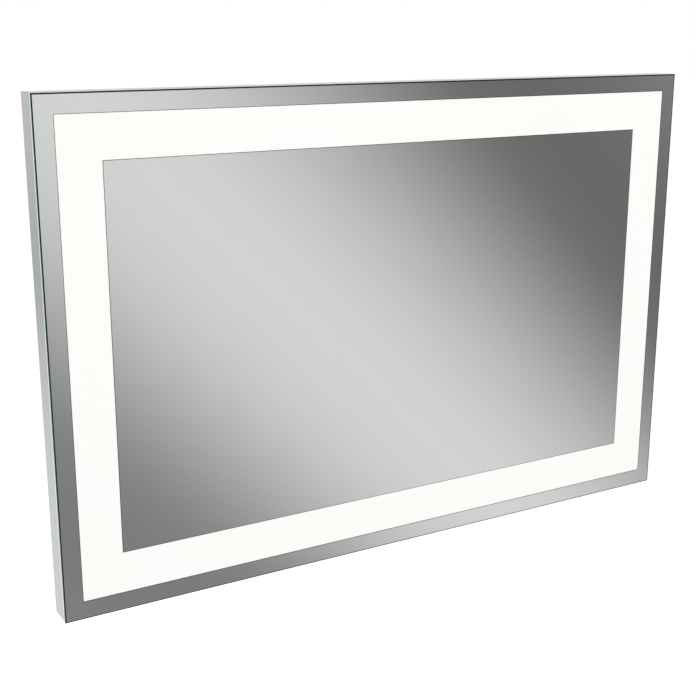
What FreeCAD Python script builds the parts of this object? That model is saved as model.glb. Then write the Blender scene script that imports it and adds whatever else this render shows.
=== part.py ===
"""Wall-hung lighted bathroom mirror: glass with an etched light band, frame, light, wiring and hanging rails.

Millimetres. +X is to the right seen from the front, +Z is up, and the front faces -Y. The wall is at y = 0.
The origin is on the wall, at the middle of the wall rail's row of fixing slots.
"""
import FreeCAD, Part
import math
import os

import Sketcher

Vector = FreeCAD.Vector
doc = FreeCAD.newDocument("LightedMirror")

# ---------------------------------------------------------------- driving dimensions

SIZES = [
    # the mirror as a whole
    ("width", 900),              # outside, left to right
    ("height", 600),             # outside, bottom to top
    ("wall_gap", 1),             # the frame's rear edge stands this far off the wall
    ("rail_drop", 120),          # from the top edge down to the wall rail's fixing slots
    # glass
    ("glass", 5),                # float glass, thickness
    ("arris", 1),                # ground arris on the long edges
    ("band_inset", 22.5),        # from the outside edge to the light band
    ("band_width", 50),
    ("etch_depth", 0.3),         # deep-etched band
    ("film", 0.25),              # safety film on the back
    ("film_inset", 77),
    ("film_fit", 0.5),           # gap between the film and a diffuser strip
    # frame extrusion
    ("frame_depth", 32),
    ("wall", 1.8),               # outer wall of the extrusion
    ("flange", 1.6),             # front flange that the glass is bonded to
    ("flange_reach", 17),
    ("tape", 1),                 # foam tape, thickness
    ("tape_width", 13),
    ("ledge", 1.6),              # ledge that carries the back plate
    ("ledge_reach", 15),
    ("channel_start", 6),        # screw channel, from the outside face
    ("channel_wall", 1.2),
    ("channel_gap", 2.6),
    ("channel_depth", 8),
    ("hook_rise", 1.5),          # rib that keeps the corner key against the wall
    # corner keys
    ("key_leg", 42),
    ("key_fit", 0.15),           # clearance round a corner key
    ("grub_out", 29),            # from the corner to a grub screw
    ("grub_diameter", 4),
    ("ring_fit", 0.1),           # round a grub screw, stud, rivet, lens or grommet in its hole
    # back plate
    ("plate", 1),                # steel sheet, thickness
    ("plate_recess", 11),        # from the frame's rear edge to the plate
    ("plate_fit", 0.6),          # gap between the plate's edge and the frame
    ("plate_corner", 4),
    ("swage_across", 300),       # stiffening swages, left and right of the middle
    ("swage_drop", 36),          # their middle, below the middle of the glass
    ("swage_width", 9),
    ("swage_length", 330),
    ("swage_rise", 1.2),
    ("vent_length", 26),
    ("vent_width", 3),
    ("vent_rows", 27),           # first to last of four vents
    # light
    ("diffuser", 2),
    ("diffuser_fit", 1.5),       # gap between a diffuser strip and the frame's flange
    ("board_width", 12),
    ("board", 1.2),
    ("board_setback", 15),       # board's end, short of the band's corner
    ("chip_length", 3.5),
    ("chip_width", 2.8),
    ("chip_rise", 0.8),
    ("chip_pitch", 60),
    ("chip_start", 12),          # from a board's end to the first chip
    ("socket_inset", 4),         # from a board's end to the middle of its socket
    ("socket_length", 6),
    ("socket_width", 8),
    ("socket_rise", 2.4),
    # driver
    ("driver_length", 176),
    ("driver_width", 44),
    ("driver_rise", 15),
    ("driver_tab", 12),          # screwed tab at each end
    ("driver_foot", 1.5),        # thickness of the tabs
    ("tab_width", 26),
    ("groove_edge", 5),          # grooves between the case's ribs, from its edge
    ("groove_width", 2.4),
    ("groove_depth", 1),
    ("driver_left", 230),        # driver's centre, left of the middle
    ("driver_up", 60),           # driver's centre, above the middle of the glass
    # supply box
    ("box_width", 84),
    ("box_height", 50),
    ("box_depth", 15),           # in front of the plate
    ("box_wall", 1.8),
    ("box_rim", 7),              # rim that lies on the back of the plate
    ("box_lid", 1.5),
    ("lid_corner", 3),
    ("box_up", -40),             # box centre, above the middle of the glass
    ("block_left", 21),          # terminal block's middle, left of the box's
    ("block_width", 18),
    ("block_rise", 12),
    ("pole_pitch", 12),
    ("wire_line", 7),            # wire ways, above the box's floor
    ("well_diameter", 4.5),
    ("earth_out", 40),           # earth stud, left of the box
    ("stud_reach", 9),           # in front of the plate
    ("stud_head", 1.4),
    ("nut_width", 7),            # across flats
    ("nut_rise", 3.2),
    ("tag_diameter", 11),      # ring tag on the earth lead
    ("tag_rise", 0.8),
    ("entry_across", 21),        # cable entry, right of the box's middle
    ("grommet_bore", 7.6),
    ("grommet_wall", 1.5),
    ("grommet_flare", 2.2),      # its rims, beyond its neck
    ("grommet_rise", 2),
    # sensor
    ("sensor_inset", 150),       # from the mirror's right edge
    ("sensor_diameter", 6),
    ("sensor_length", 30),
    ("sensor_rise", 12),
    ("lens_step", 0.6),          # lens stem's radius is this much less
    ("lens_seat", 4),            # the stem's depth in the case
    # demister
    ("pad_width", 340),
    ("pad_height", 240),
    ("pad", 0.6),
    ("pad_corner", 12),
    # hanging rails
    ("rail_length", 640),
    ("rail", 2),                 # thickness of both rails
    ("rail_foot", 28),           # wall rail's foot, height
    ("rail_hook", 14),           # hook lip, above the web
    ("rail_offset", 7),          # hook lip's front face, from the wall
    ("slot_length", 12),
    ("slot_width", 6),
    ("slot_span", 500),          # outermost slots, centre to centre
    ("hook_fit", 0.6),           # between the two hooks
    ("hook_grip", 11),           # how far the hanger's lip reaches down behind the wall rail's
    ("hanger_foot", 26),
    ("rivet_diameter", 4),
    ("rivet_head", 7.6),
    ("rivet_rise", 1.3),
    ("rivet_bulb", 5.4),         # collapsed end
    ("rivet_tail", 3),
    # bumpers
    ("bumper_diameter", 22),
    ("bumper_end", 17.6),        # diameter at the wall
    ("bumper_seat", 3),          # rubber under the screw's head
    ("bumper_inset", 60),
    # screws and leads
    ("screw_diameter", 2.5),
    ("screw_head", 6.4),
    ("screw_edge", 0.9),         # height of the head's rim
    ("screw_top", 4.6),          # flat top of the head
    ("screw_rise", 2),
    ("screw_bite", 6.5),         # a plate screw's depth in the frame's channel
    ("screw_point", 2),          # a short screw's end beyond what it holds
    ("lead_diameter", 3),
    ("lead_fit", 0.15),          # between a lead and the plate it lies on
    ("lead_bend", 15),           # room that a lead takes for a bend
    ("clip_length", 7),          # saddles over the leads
    ("clip_wall", 1.2),
    ("clip_foot", 3),
    ("hole_fit", 0.4),           # added to a screw's diameter for its hole
]

sheet = doc.addObject("Spreadsheet::Sheet", "Sizes")
for row, (name, value) in enumerate(SIZES, start=1):
    sheet.set("A%d" % row, name)
    sheet.set("B%d" % row, str(value))
    sheet.setAlias("B%d" % row, name)
doc.recompute()


def size(name):
    """The number in the sheet under this name."""
    return float(sheet.get(name))


# Distances used by many pieces, as formulas of the sheet.
CENTRE_UP = "(Sizes.rail_drop - Sizes.height / 2)"
GLASS_BACK = "(Sizes.wall_gap + Sizes.frame_depth)"
PLATE_BACK = "(Sizes.wall_gap + Sizes.plate_recess)"
PLATE_FRONT = "(Sizes.wall_gap + Sizes.plate_recess + Sizes.plate)"
FLANGE_BACK = "(%s - Sizes.tape - Sizes.flange)" % GLASS_BACK
BAND_MIDDLE = "(Sizes.band_inset + Sizes.band_width / 2)"

# The same distances as numbers, for the pieces made from curves and copies.
centre_up = size("rail_drop") - size("height") / 2
glass_back = size("wall_gap") + size("frame_depth")
plate_back = size("wall_gap") + size("plate_recess")
plate_front = plate_back + size("plate")
flange_back = glass_back - size("tape") - size("flange")
band_middle = size("band_inset") + size("band_width") / 2

# ---------------------------------------------------------------- drawing helpers

nodes = []


def new_body(label):
    """A body that is one sub-part, named after its file."""
    body = doc.addObject("PartDesign::Body", label)
    body.Label = label
    nodes.append(body)
    return body


def put(piece, across="0", along="0", up="0", turn=0, about=Vector(0, 1, 0)):
    """Place a piece by formulas of the sheet, turned about one axis."""
    piece.Placement = FreeCAD.Placement(Vector(), FreeCAD.Rotation(about, turn))
    for axis, formula in (("x", across), ("y", along), ("z", up)):
        piece.setExpression("Placement.Base.%s" % axis, formula)


def new_sketch(body, role, offset=None):
    """A sketch on one of the body's own origin planes, moved along its normal by a formula."""
    sketch = body.newObject("Sketcher::SketchObject", body.Label + "_sketch")
    plane = [item for item in body.Origin.OriginFeatures if item.Role == role][0]
    sketch.AttachmentSupport = [(plane, "")]
    sketch.MapMode = "FlatFace"
    if offset:
        sketch.setExpression("AttachmentOffset.Base.z", offset)
    return sketch


def bind(sketch, kind, *where_and_formula):
    """A dimension of the sketch, driven by a formula."""
    *where, formula = where_and_formula
    number = sketch.addConstraint(Sketcher.Constraint(kind, *where, 1.0))
    sketch.setExpression("Constraints[%d]" % number, formula)


def outline(sketch, corners):
    """A closed outline of straight lines; each corner is a pair of formulas."""
    first, count = sketch.GeometryCount, len(corners)
    places = [Vector(*[float(sketch.evalExpression(formula)) for formula in corner], 0) for corner in corners]
    sketch.addGeometry([Part.LineSegment(places[i], places[(i + 1) % count]) for i in range(count)], False)
    sketch.addConstraint([Sketcher.Constraint("Coincident", first + i, 2, first + (i + 1) % count, 1)
                          for i in range(count)])
    for kind, part in (("DistanceX", 0), ("DistanceY", 1)):
        numbers = sketch.addConstraint([Sketcher.Constraint(kind, -1, 1, first + i, 1, places[i][part])
                                        for i in range(count)])
        for number, corner in zip(numbers, corners):
            sketch.setExpression("Constraints[%d]" % number, corner[part])


def rectangle(sketch, across, up, length, height):
    """A rectangle about a centre."""
    left, right = "%s - (%s) / 2" % (across, length), "%s + (%s) / 2" % (across, length)
    low, high = "%s - (%s) / 2" % (up, height), "%s + (%s) / 2" % (up, height)
    outline(sketch, [(left, low), (right, low), (right, high), (left, high)])


def circle(sketch, across, up, diameter):
    """A circle about a centre."""
    number = sketch.addGeometry(Part.Circle(Vector(), Vector(0, 0, 1), 1), False)
    bind(sketch, "DistanceX", -1, 1, number, 3, across)
    bind(sketch, "DistanceY", -1, 1, number, 3, up)
    bind(sketch, "Diameter", number, diameter)


def pad(body, sketch, length, symmetric=False, reverse=False):
    """Extrude a sketch."""
    feature = body.newObject("PartDesign::Pad", body.Label + "_pad")
    feature.Profile = sketch
    feature.Reversed = reverse
    if symmetric:
        feature.SideType = "Symmetric"
    feature.setExpression("Length", length)
    body.Tip = feature
    return feature


def pocket(body, sketch, depth=None, reverse=False):
    """Cut a sketch out: to a depth, or right through on both sides of its plane."""
    feature = body.newObject("PartDesign::Pocket", body.Label + "_pocket")
    feature.Profile = sketch
    feature.Reversed = reverse
    if depth:
        feature.setExpression("Length", depth)
    else:
        feature.Type = "ThroughAll"
        feature.SideType = "Symmetric"
    body.Tip = feature
    return feature


def repeat(body, features, sketch, axis, span, count):
    """Repeat features in a row over a span."""
    pattern = body.newObject("PartDesign::LinearPattern", body.Label + "_row")
    pattern.Originals = features
    pattern.Direction = (sketch, [axis])
    pattern.setExpression("Length", span)
    pattern.Occurrences = count
    body.Tip = pattern
    return pattern


def slots(body, spots, length, width):
    """Round-ended slots right through, at the spots, lying across."""
    middle = new_sketch(body, "XZ_Plane")
    for across, up in spots:
        rectangle(middle, across, up, "(%s) - (%s)" % (length, width), width)
    cuts = [pocket(body, middle)]
    for side in ("-", "+"):
        ends = new_sketch(body, "XZ_Plane")
        for across, up in spots:
            circle(ends, "%s %s ((%s) - (%s)) / 2" % (across, side, length, width), up, width)
        cuts.append(pocket(body, ends))
    return cuts


def octagon(sketch, across, up, diameter):
    """A small hole drawn with eight sides about a point that the sketch keeps."""
    turns = [math.pi * (2 * i + 1) / 8 for i in range(8)]
    outline(sketch, [("%s + (%s) * %.6f" % (across, diameter, math.cos(turn) / 2),
                      "%s + (%s) * %.6f" % (up, diameter, math.sin(turn) / 2)) for turn in turns])
    number = sketch.addGeometry(Part.Point(Vector()), True)
    bind(sketch, "DistanceX", -1, 1, number, 1, across)
    bind(sketch, "DistanceY", -1, 1, number, 1, up)


def holes(body, spots, diameter):
    """Small holes right through; the sketch is kept, so that what goes in can be put at its points."""
    sketch = new_sketch(body, "XZ_Plane")
    for across, up in spots:
        octagon(sketch, across, up, diameter)
    pocket(body, sketch)
    return sketch


def centres(body, sketch):
    """Where a sketch's points are, in the mirror's frame."""
    place = body.Placement.multiply(sketch.Placement)
    points = [item for item in sketch.Geometry if isinstance(item, Part.Point)]
    return [place.multVec(Vector(point.X, point.Y, 0)) for point in points]


def round_edges(body, chosen, formula, kind="Fillet"):
    """Round or chamfer the edges that a test picks out."""
    doc.recompute()
    base = body.Tip
    names = ["Edge%d" % i for i, edge in enumerate(base.Shape.Edges, start=1) if chosen(edge)]
    feature = body.newObject("PartDesign::" + kind, body.Label + "_" + kind.lower())
    feature.Base = (base, names)
    feature.setExpression("Radius" if kind == "Fillet" else "Size", formula)
    body.Tip = feature
    return feature


def group(label, shapes):
    """Identical loose pieces as one sub-part of separate solids."""
    piece = doc.addObject("Part::Feature", label)
    piece.Label = label
    piece.Shape = Part.makeCompound(shapes)
    nodes.append(piece)
    return piece


def turned(profile):
    """A round solid about the Y axis, from its half section: each corner a radius and a distance along Y."""
    wire = Part.makePolygon([Vector(radius, along, 0) for radius, along in profile + profile[:1]])
    return Part.Face(wire).revolve(Vector(), Vector(0, 1, 0), 360)


def ring(radius, along, sides=8):
    """A closed polygon about the Y axis, its corners at this radius."""
    turns = [math.pi * (2 * i + 1) / sides for i in range(sides + 1)]
    corners = [Vector(radius * math.cos(turn), along, radius * math.sin(turn)) for turn in turns]
    return Part.makePolygon(corners)


def eight_sided(profile, place=None):
    """An eight-sided solid about the Y axis, from its half section's outer corners, as in turned()."""
    bars = [Part.makeLoft([ring(*low), ring(*high)], True, True)
            for low, high in zip(profile, profile[1:]) if low[1] != high[1]]
    solid = bars[0].multiFuse(bars[1:]).removeSplitter() if len(bars) > 1 else bars[0]
    if place:
        solid.transformShape(place.Matrix, True)
    return solid


def moved(shape, spot):
    """A copy of a shape at a spot."""
    copy = shape.copy()
    copy.translate(spot)
    return copy


# ---------------------------------------------------------------- glass

def mirror_pane():
    """Float glass with the light band etched into its front face and a ground arris all round."""
    body = new_body("mirror_pane")
    sketch = new_sketch(body, "XZ_Plane")
    rectangle(sketch, "0", "0", "Sizes.width", "Sizes.height")
    pad(body, sketch, "Sizes.glass")
    band = new_sketch(body, "XZ_Plane", "Sizes.glass")
    for inset in ("Sizes.band_inset", "(Sizes.band_inset + Sizes.band_width)"):
        rectangle(band, "0", "0", "Sizes.width - 2 * %s" % inset, "Sizes.height - 2 * %s" % inset)
    edges = pad_edges(size("width") / 2, size("height") / 2, size("glass"))
    round_edges(body, edges, "Sizes.arris", "Chamfer")
    pocket(body, band, "Sizes.etch_depth")
    put(body, along="-" + GLASS_BACK, up=CENTRE_UP)


def pad_edges(half_width, half_height, thickness):
    """Picks the long edges on the outside of a centred plate."""
    def chosen(edge):
        middle = edge.CenterOfMass
        outside = abs(abs(middle.x) - half_width) < 0.01 or abs(abs(middle.z) - half_height) < 0.01
        return outside and edge.Length > 2 * thickness
    return chosen


def safety_film():
    """Film on the back of the glass, inside the light band, that holds the pieces if the glass breaks."""
    film = doc.addObject("Part::Box", "safety_film")
    film.Label = "safety_film"
    film.setExpression("Length", "Sizes.width - 2 * Sizes.film_inset")
    film.setExpression("Width", "Sizes.film")
    film.setExpression("Height", "Sizes.height - 2 * Sizes.film_inset")
    put(film, "Sizes.film_inset - Sizes.width / 2", "-" + GLASS_BACK,
        CENTRE_UP + " - Sizes.height / 2 + Sizes.film_inset")
    nodes.append(film)


def demister_pad():
    """Heated pad stuck to the film, with rounded corners and a tab for its lead."""
    body = new_body("demister_pad")
    sketch = new_sketch(body, "XZ_Plane")
    rectangle(sketch, "0", "0", "Sizes.pad_width", "Sizes.pad_height")
    pad(body, sketch, "Sizes.pad", reverse=True)
    thick = size("pad")
    round_edges(body, lambda edge: abs(edge.Length - thick) < 0.01, "Sizes.pad_corner")
    put(body, along="-(%s - Sizes.film)" % GLASS_BACK, up=CENTRE_UP)


# ---------------------------------------------------------------- frame

# Middle of the strip between the screw channel and the key groove's rib, for the sensor and grub screws.
STRIP_BACK = ("(%s + Sizes.channel_depth + Sizes.channel_wall + Sizes.key_fit + Sizes.sensor_diameter / 2)"
              % PLATE_FRONT)
strip_back = (plate_front + size("channel_depth") + size("channel_wall") + size("key_fit")
              + size("sensor_diameter") / 2)


def frame_bar(label, long_side, turn, across, up):
    """One side of the frame: a mitred extrusion with glass flange, ledge, screw channel and key groove."""
    body = new_body(label)
    section = new_sketch(body, "YZ_Plane")
    channel_outer = "Sizes.channel_start + Sizes.channel_wall"
    channel_inner = "%s + Sizes.channel_gap" % channel_outer
    channel_end = "%s + Sizes.channel_wall" % channel_inner
    ledge_front = "-(%s + Sizes.ledge)" % PLATE_FRONT
    channel_floor = "-(%s + Sizes.channel_depth)" % PLATE_FRONT
    channel_front = "-(%s + Sizes.channel_depth + Sizes.channel_wall)" % PLATE_FRONT
    tape_back = "-(%s - Sizes.tape)" % GLASS_BACK
    outline(section, [
        ("-" + GLASS_BACK, "0"),
        ("-Sizes.wall_gap", "0"),
        ("-Sizes.wall_gap", "Sizes.wall"),
        ("-" + PLATE_FRONT, "Sizes.wall"),
        ("-" + PLATE_FRONT, channel_outer),
        (channel_floor, channel_outer),
        (channel_floor, channel_inner),
        ("-" + PLATE_FRONT, channel_inner),
        ("-" + PLATE_FRONT, "Sizes.ledge_reach"),
        (ledge_front, "Sizes.ledge_reach"),
        (ledge_front, channel_end),
        (channel_front, channel_end),
        (channel_front, "Sizes.channel_start"),
        (ledge_front, "Sizes.channel_start"),
        (ledge_front, "Sizes.wall"),
        ("-" + FLANGE_BACK, "Sizes.wall"),
        ("-" + FLANGE_BACK, "Sizes.channel_start"),
        ("-(%s - Sizes.hook_rise)" % FLANGE_BACK, "Sizes.channel_start"),
        ("-(%s - Sizes.hook_rise)" % FLANGE_BACK, channel_outer),
        ("-" + FLANGE_BACK, channel_outer),
        ("-" + FLANGE_BACK, "Sizes.flange_reach"),
        (tape_back, "Sizes.flange_reach"),
        (tape_back, "Sizes.wall"),
        ("-" + GLASS_BACK, "Sizes.wall"),
    ])
    pad(body, section, long_side, symmetric=True)
    mitres = new_sketch(body, "XZ_Plane")
    reach = "2 * Sizes.flange_reach"
    outline(mitres, [("-%s / 2" % long_side, "0"), ("-%s / 2 + %s" % (long_side, reach), reach),
                     ("-%s / 2" % long_side, reach)])
    outline(mitres, [("%s / 2" % long_side, "0"), ("%s / 2" % long_side, reach),
                     ("%s / 2 - %s" % (long_side, reach), reach)])
    pocket(body, mitres)
    put(body, across=across, up=up, turn=turn)
    return body


def frame():
    """The four sides; the bottom one has a hole for the hand sensor."""
    low, high = CENTRE_UP + " - Sizes.height / 2", CENTRE_UP + " + Sizes.height / 2"
    frame_bar("frame_top", "Sizes.width", 180, "0", high)
    frame_bar("frame_left", "Sizes.height", 90, "-Sizes.width / 2", CENTRE_UP)
    frame_bar("frame_right", "Sizes.height", -90, "Sizes.width / 2", CENTRE_UP)
    bottom = frame_bar("frame_bottom", "Sizes.width", 0, "0", low)
    window = new_sketch(bottom, "XY_Plane")
    across, diameter = "Sizes.width / 2 - Sizes.sensor_inset", "Sizes.sensor_diameter + Sizes.key_fit"
    circle(window, across, "-" + STRIP_BACK, diameter)
    pocket(bottom, window, "Sizes.wall", reverse=True)


def bonding_tape():
    """Foam tape between the frame's flange and the glass: long strips top and bottom, short ones between."""
    start = size("wall") + size("key_fit")
    wide, thick = size("tape_width"), size("tape")
    half_width, half_height = size("width") / 2, size("height") / 2
    strips = []
    for side in (-1, 1):
        low = centre_up + side * (half_height - start - wide / 2) - wide / 2
        strips.append(Part.makeBox(2 * (half_width - start), thick, wide,
                                   Vector(start - half_width, -glass_back, low)))
        left = side * (half_width - start - wide / 2) - wide / 2
        tall = 2 * (half_height - start - wide)
        strips.append(Part.makeBox(wide, thick, tall, Vector(left, -glass_back, centre_up - tall / 2)))
    group("bonding_tape", strips)


def corner_spots():
    """The frame's corners, each with the sides that it is on."""
    for right in (-1, 1):
        for top in (-1, 1):
            yield Vector(right * size("width") / 2, 0, centre_up + top * size("height") / 2), right, top


def mirrored(shape, corner, right, top):
    """A shape drawn inwards from a corner at the origin, put at one of the frame's corners."""
    copy = shape.copy()
    if right > 0:
        copy = copy.mirror(Vector(), Vector(1, 0, 0))
    if top > 0:
        copy = copy.mirror(Vector(), Vector(0, 0, 1))
    copy.translate(corner)
    return copy


def corner_keys():
    """Cast angle pieces in the frame's key groove, each held by two grub screws."""
    start = size("wall") + size("key_fit")
    inner = size("channel_start") - size("key_fit")
    leg, reach = size("key_leg"), size("grub_out")
    rear, front = plate_front + size("ledge") + size("key_fit"), flange_back - size("key_fit")
    thick = inner - start
    points = [(start, start), (leg, start), (leg, inner), (inner, inner), (inner, leg), (start, leg)]
    wire = Part.makePolygon([Vector(across, -rear, up) for across, up in points + points[:1]])
    key = Part.Face(wire).extrude(Vector(0, rear - front, 0))
    screws = []
    for spot, way in ((Vector(reach, -strip_back, start), Vector(0, 0, 1)),
                      (Vector(start, -strip_back, reach), Vector(1, 0, 0))):
        turn = FreeCAD.Placement(spot, FreeCAD.Rotation(Vector(0, 1, 0), way))
        radius = size("grub_diameter") / 2
        key = key.cut(eight_sided([(radius + size("ring_fit"), 0), (radius + size("ring_fit"), thick)], turn))
        screws.append(eight_sided([(radius, 0), (radius, thick)], turn))
    spots = list(corner_spots())
    group("corner_keys", [mirrored(key, *spot) for spot in spots])
    group("key_screws", [mirrored(screw, *spot) for spot in spots for screw in screws])


# ---------------------------------------------------------------- back plate

def screw_spots():
    """Where the plate is screwed into the frame's channel: formulas from the middle of the glass."""
    line = "(Sizes.channel_start + Sizes.channel_wall + Sizes.channel_gap / 2)"
    span_x, span_z = "(Sizes.width - 2 * %s)" % line, "(Sizes.height - 2 * %s)" % line
    spots = []
    for side in (-0.5, 0.5):
        shares = [(share, side) for share in (-0.45, -0.15, 0.15, 0.45)]
        shares += [(side, share) for share in (-0.25, 0.25)]
        spots += [("%s * %s" % (across, span_x), "%s * %s" % (up, span_z)) for across, up in shares]
    return spots


def hanger_spots():
    """Rivet places in the hanging rail's foot, from the origin."""
    shares = (-0.46, -0.23, 0, 0.23, 0.46)
    return [("%s * Sizes.rail_length" % share, "(%s)" % HANGER_ROW) for share in shares]


def bumper_spots():
    """Bumpers near the two lower corners, from the middle of the glass."""
    return [("%s (Sizes.width / 2 - Sizes.bumper_inset)" % side, "Sizes.bumper_inset - Sizes.height / 2")
            for side in ("-", "+")]


# Screw places in the supply box's rim and in the driver's tabs, from their own middles.
LID_SPOTS = [("%s (Sizes.box_width / 2 + Sizes.box_rim / 2)" % side, "0") for side in ("-", "+")]
DRIVER_SPOTS = [("%s (Sizes.driver_length / 2 + Sizes.driver_tab / 2)" % side, "0") for side in ("-", "+")]
DRIVER_ACROSS = "(-Sizes.driver_left)"


def back_plate():
    """Punched steel sheet: holes for what is fixed to it, the box's opening, vents and pressed swages."""
    body = new_body("back_plate")
    sheet_sketch = new_sketch(body, "XZ_Plane")
    gap = "2 * (Sizes.wall + Sizes.plate_fit)"
    rectangle(sheet_sketch, "0", "0", "Sizes.width - " + gap, "Sizes.height - " + gap)
    pad(body, sheet_sketch, "Sizes.plate")
    thick = size("plate")
    round_edges(body, lambda edge: abs(edge.Length - thick) < 0.01, "Sizes.plate_corner")
    opening = new_sketch(body, "XZ_Plane")
    wide, tall = "Sizes.box_width + Sizes.hole_fit", "Sizes.box_height + Sizes.hole_fit"
    rectangle(opening, "0", "Sizes.box_up", wide, tall)
    pocket(body, opening)
    for side in ("-", "+"):
        across = "%s Sizes.swage_across" % side
        swage = new_sketch(body, "XZ_Plane")
        rectangle(swage, across, "-Sizes.swage_drop", "Sizes.swage_width", "Sizes.swage_length")
        pad(body, swage, "Sizes.swage_rise", reverse=True)
        hollow = new_sketch(body, "XZ_Plane", "Sizes.plate")
        rectangle(hollow, across, "-Sizes.swage_drop",
                  "Sizes.swage_width - 2 * Sizes.plate", "Sizes.swage_length - 2 * Sizes.plate")
        pocket(body, hollow, "Sizes.swage_rise")
    vents = new_sketch(body, "XZ_Plane")
    for start in ("Sizes.driver_width", "-Sizes.driver_width - Sizes.vent_rows"):
        rectangle(vents, DRIVER_ACROSS, "Sizes.driver_up + " + start, "Sizes.vent_length", "Sizes.vent_width")
    repeat(body, [pocket(body, vents)], vents, "V_Axis", "Sizes.vent_rows", 4)
    screw = "Sizes.screw_diameter + Sizes.hole_fit"
    screws = holes(body, screw_spots(), screw)
    rivets = [(across, "%s - %s" % (up, CENTRE_UP)) for across, up in hanger_spots()]
    holes(body, rivets, "Sizes.rivet_diameter + Sizes.ring_fit")
    fixings = holes(body, bumper_spots(), screw)
    small = [(across, "Sizes.box_up") for across, up in LID_SPOTS]
    small += [("%s + %s" % (across, DRIVER_ACROSS), "Sizes.driver_up") for across, up in DRIVER_SPOTS]
    holes(body, small, screw)
    holes(body, [("-Sizes.box_width / 2 - Sizes.earth_out", "Sizes.box_up - Sizes.box_height / 2")],
          "Sizes.grub_diameter + Sizes.ring_fit")
    put(body, along="-" + PLATE_BACK, up=CENTRE_UP)
    return body, screws, fixings


def pan_screw(length):
    """Pan-head screw along +Y: the head's underside is at the origin and the shank goes to -Y."""
    shank, head = size("screw_diameter") / 2, size("screw_head") / 2
    return eight_sided([(shank, -length), (shank, 0), (head, 0), (head, size("screw_edge")),
                        (size("screw_top") / 2, size("screw_rise"))])


# ---------------------------------------------------------------- hanging rails

WEB_UP = "(Sizes.rail_foot / 2 - Sizes.rail)"
HOOK_TOP = "(Sizes.rail_foot / 2 + Sizes.rail_hook)"
HANGER_ROW = "%s + Sizes.rail + Sizes.hanger_foot / 2" % HOOK_TOP


def wall_rail():
    """Z-section rail screwed to the wall: foot, web and an upturned hook, with slots for the wall screws."""
    body = new_body("wall_rail")
    section = new_sketch(body, "YZ_Plane")
    outline(section, [
        ("0", "-Sizes.rail_foot / 2"),
        ("0", "Sizes.rail_foot / 2"),
        ("-(Sizes.rail_offset - Sizes.rail)", "Sizes.rail_foot / 2"),
        ("-(Sizes.rail_offset - Sizes.rail)", HOOK_TOP),
        ("-Sizes.rail_offset", HOOK_TOP),
        ("-Sizes.rail_offset", WEB_UP),
        ("-Sizes.rail", WEB_UP),
        ("-Sizes.rail", "-Sizes.rail_foot / 2"),
    ])
    pad(body, section, "Sizes.rail_length", symmetric=True)
    cuts = slots(body, [("-Sizes.slot_span / 2", "0")], "Sizes.slot_length", "Sizes.slot_width")
    repeat(body, cuts, cuts[0].Profile[0], "H_Axis", "Sizes.slot_span", 5)


def hanger_rail():
    """The matching rail on the back plate: its lip hooks down behind the wall rail's, its web rests on it."""
    body = new_body("hanger_rail")
    section = new_sketch(body, "YZ_Plane")
    lip_front = "-(Sizes.rail_offset - Sizes.rail - Sizes.hook_fit)"
    lip_back = "-(Sizes.rail_offset - 2 * Sizes.rail - Sizes.hook_fit)"
    web_top = HOOK_TOP + " + Sizes.rail"
    lip_end = HOOK_TOP + " - Sizes.hook_grip"
    foot_top = web_top + " + Sizes.hanger_foot"
    foot_back = "-(%s - Sizes.rail)" % PLATE_BACK
    outline(section, [
        ("-" + PLATE_BACK, HOOK_TOP),
        (lip_front, HOOK_TOP),
        (lip_front, lip_end),
        (lip_back, lip_end),
        (lip_back, web_top),
        (foot_back, web_top),
        (foot_back, foot_top),
        ("-" + PLATE_BACK, foot_top),
    ])
    pad(body, section, "Sizes.rail_length", symmetric=True)
    return body, holes(body, hanger_spots(), "Sizes.rivet_diameter + Sizes.ring_fit")


def rivet():
    """Blind rivet along +Y: the dome is on the hanging rail, the collapsed end is inside the plate."""
    shank, bulb, head = (size(name) / 2 for name in ("rivet_diameter", "rivet_bulb", "rivet_head"))
    grip, tail = size("rail") + size("plate"), size("rivet_tail")
    return eight_sided([(shank, -grip - tail), (bulb, -grip - tail / 2), (bulb, -grip), (shank, -grip),
                        (shank, 0), (head, 0), (shank, size("rivet_rise"))])


def bumpers(spots):
    """Rubber bumpers that hold the mirror's lower edge off the wall, each with a screw sunk in it."""
    bore = size("screw_diameter") / 2 + size("hole_fit") / 2
    head = size("screw_head") / 2 + size("hole_fit")
    seat = size("bumper_seat")
    foot = turned([(bore, 0), (size("bumper_diameter") / 2, 0), (size("bumper_end") / 2, plate_back),
                   (head, plate_back), (head, seat), (bore, seat)])
    screw = pan_screw(seat + size("plate") + size("screw_point"))
    group("wall_bumpers", [moved(foot, spot) for spot in spots])
    group("bumper_screws", [moved(screw, spot + Vector(0, seat, 0)) for spot in spots])


# ---------------------------------------------------------------- light

def diffusers():
    """Opal strips on the back of the glass behind the band; the short ones butt between the long ones."""
    start = "(Sizes.flange_reach + Sizes.diffuser_fit)"
    wide = "(Sizes.film_inset - Sizes.film_fit - %s)" % start
    offset_x = "(Sizes.width / 2 - %s - %s / 2)" % (start, wide)
    offset_z = "(Sizes.height / 2 - %s - %s / 2)" % (start, wide)
    flat = ("Sizes.width - 2 * %s" % start, wide)
    upright = (wide, "Sizes.height - 2 * %s - 2 * %s" % (start, wide))
    for label, across, up, (length, tall) in (
            ("diffuser_top", "0", offset_z, flat), ("diffuser_bottom", "0", "-" + offset_z, flat),
            ("diffuser_left", "-" + offset_x, "0", upright), ("diffuser_right", offset_x, "0", upright)):
        body = new_body(label)
        sketch = new_sketch(body, "XZ_Plane")
        rectangle(sketch, "0", "0", length, tall)
        pad(body, sketch, "Sizes.diffuser", reverse=True)
        put(body, across, "-" + GLASS_BACK, "%s + %s" % (CENTRE_UP, up))


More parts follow.
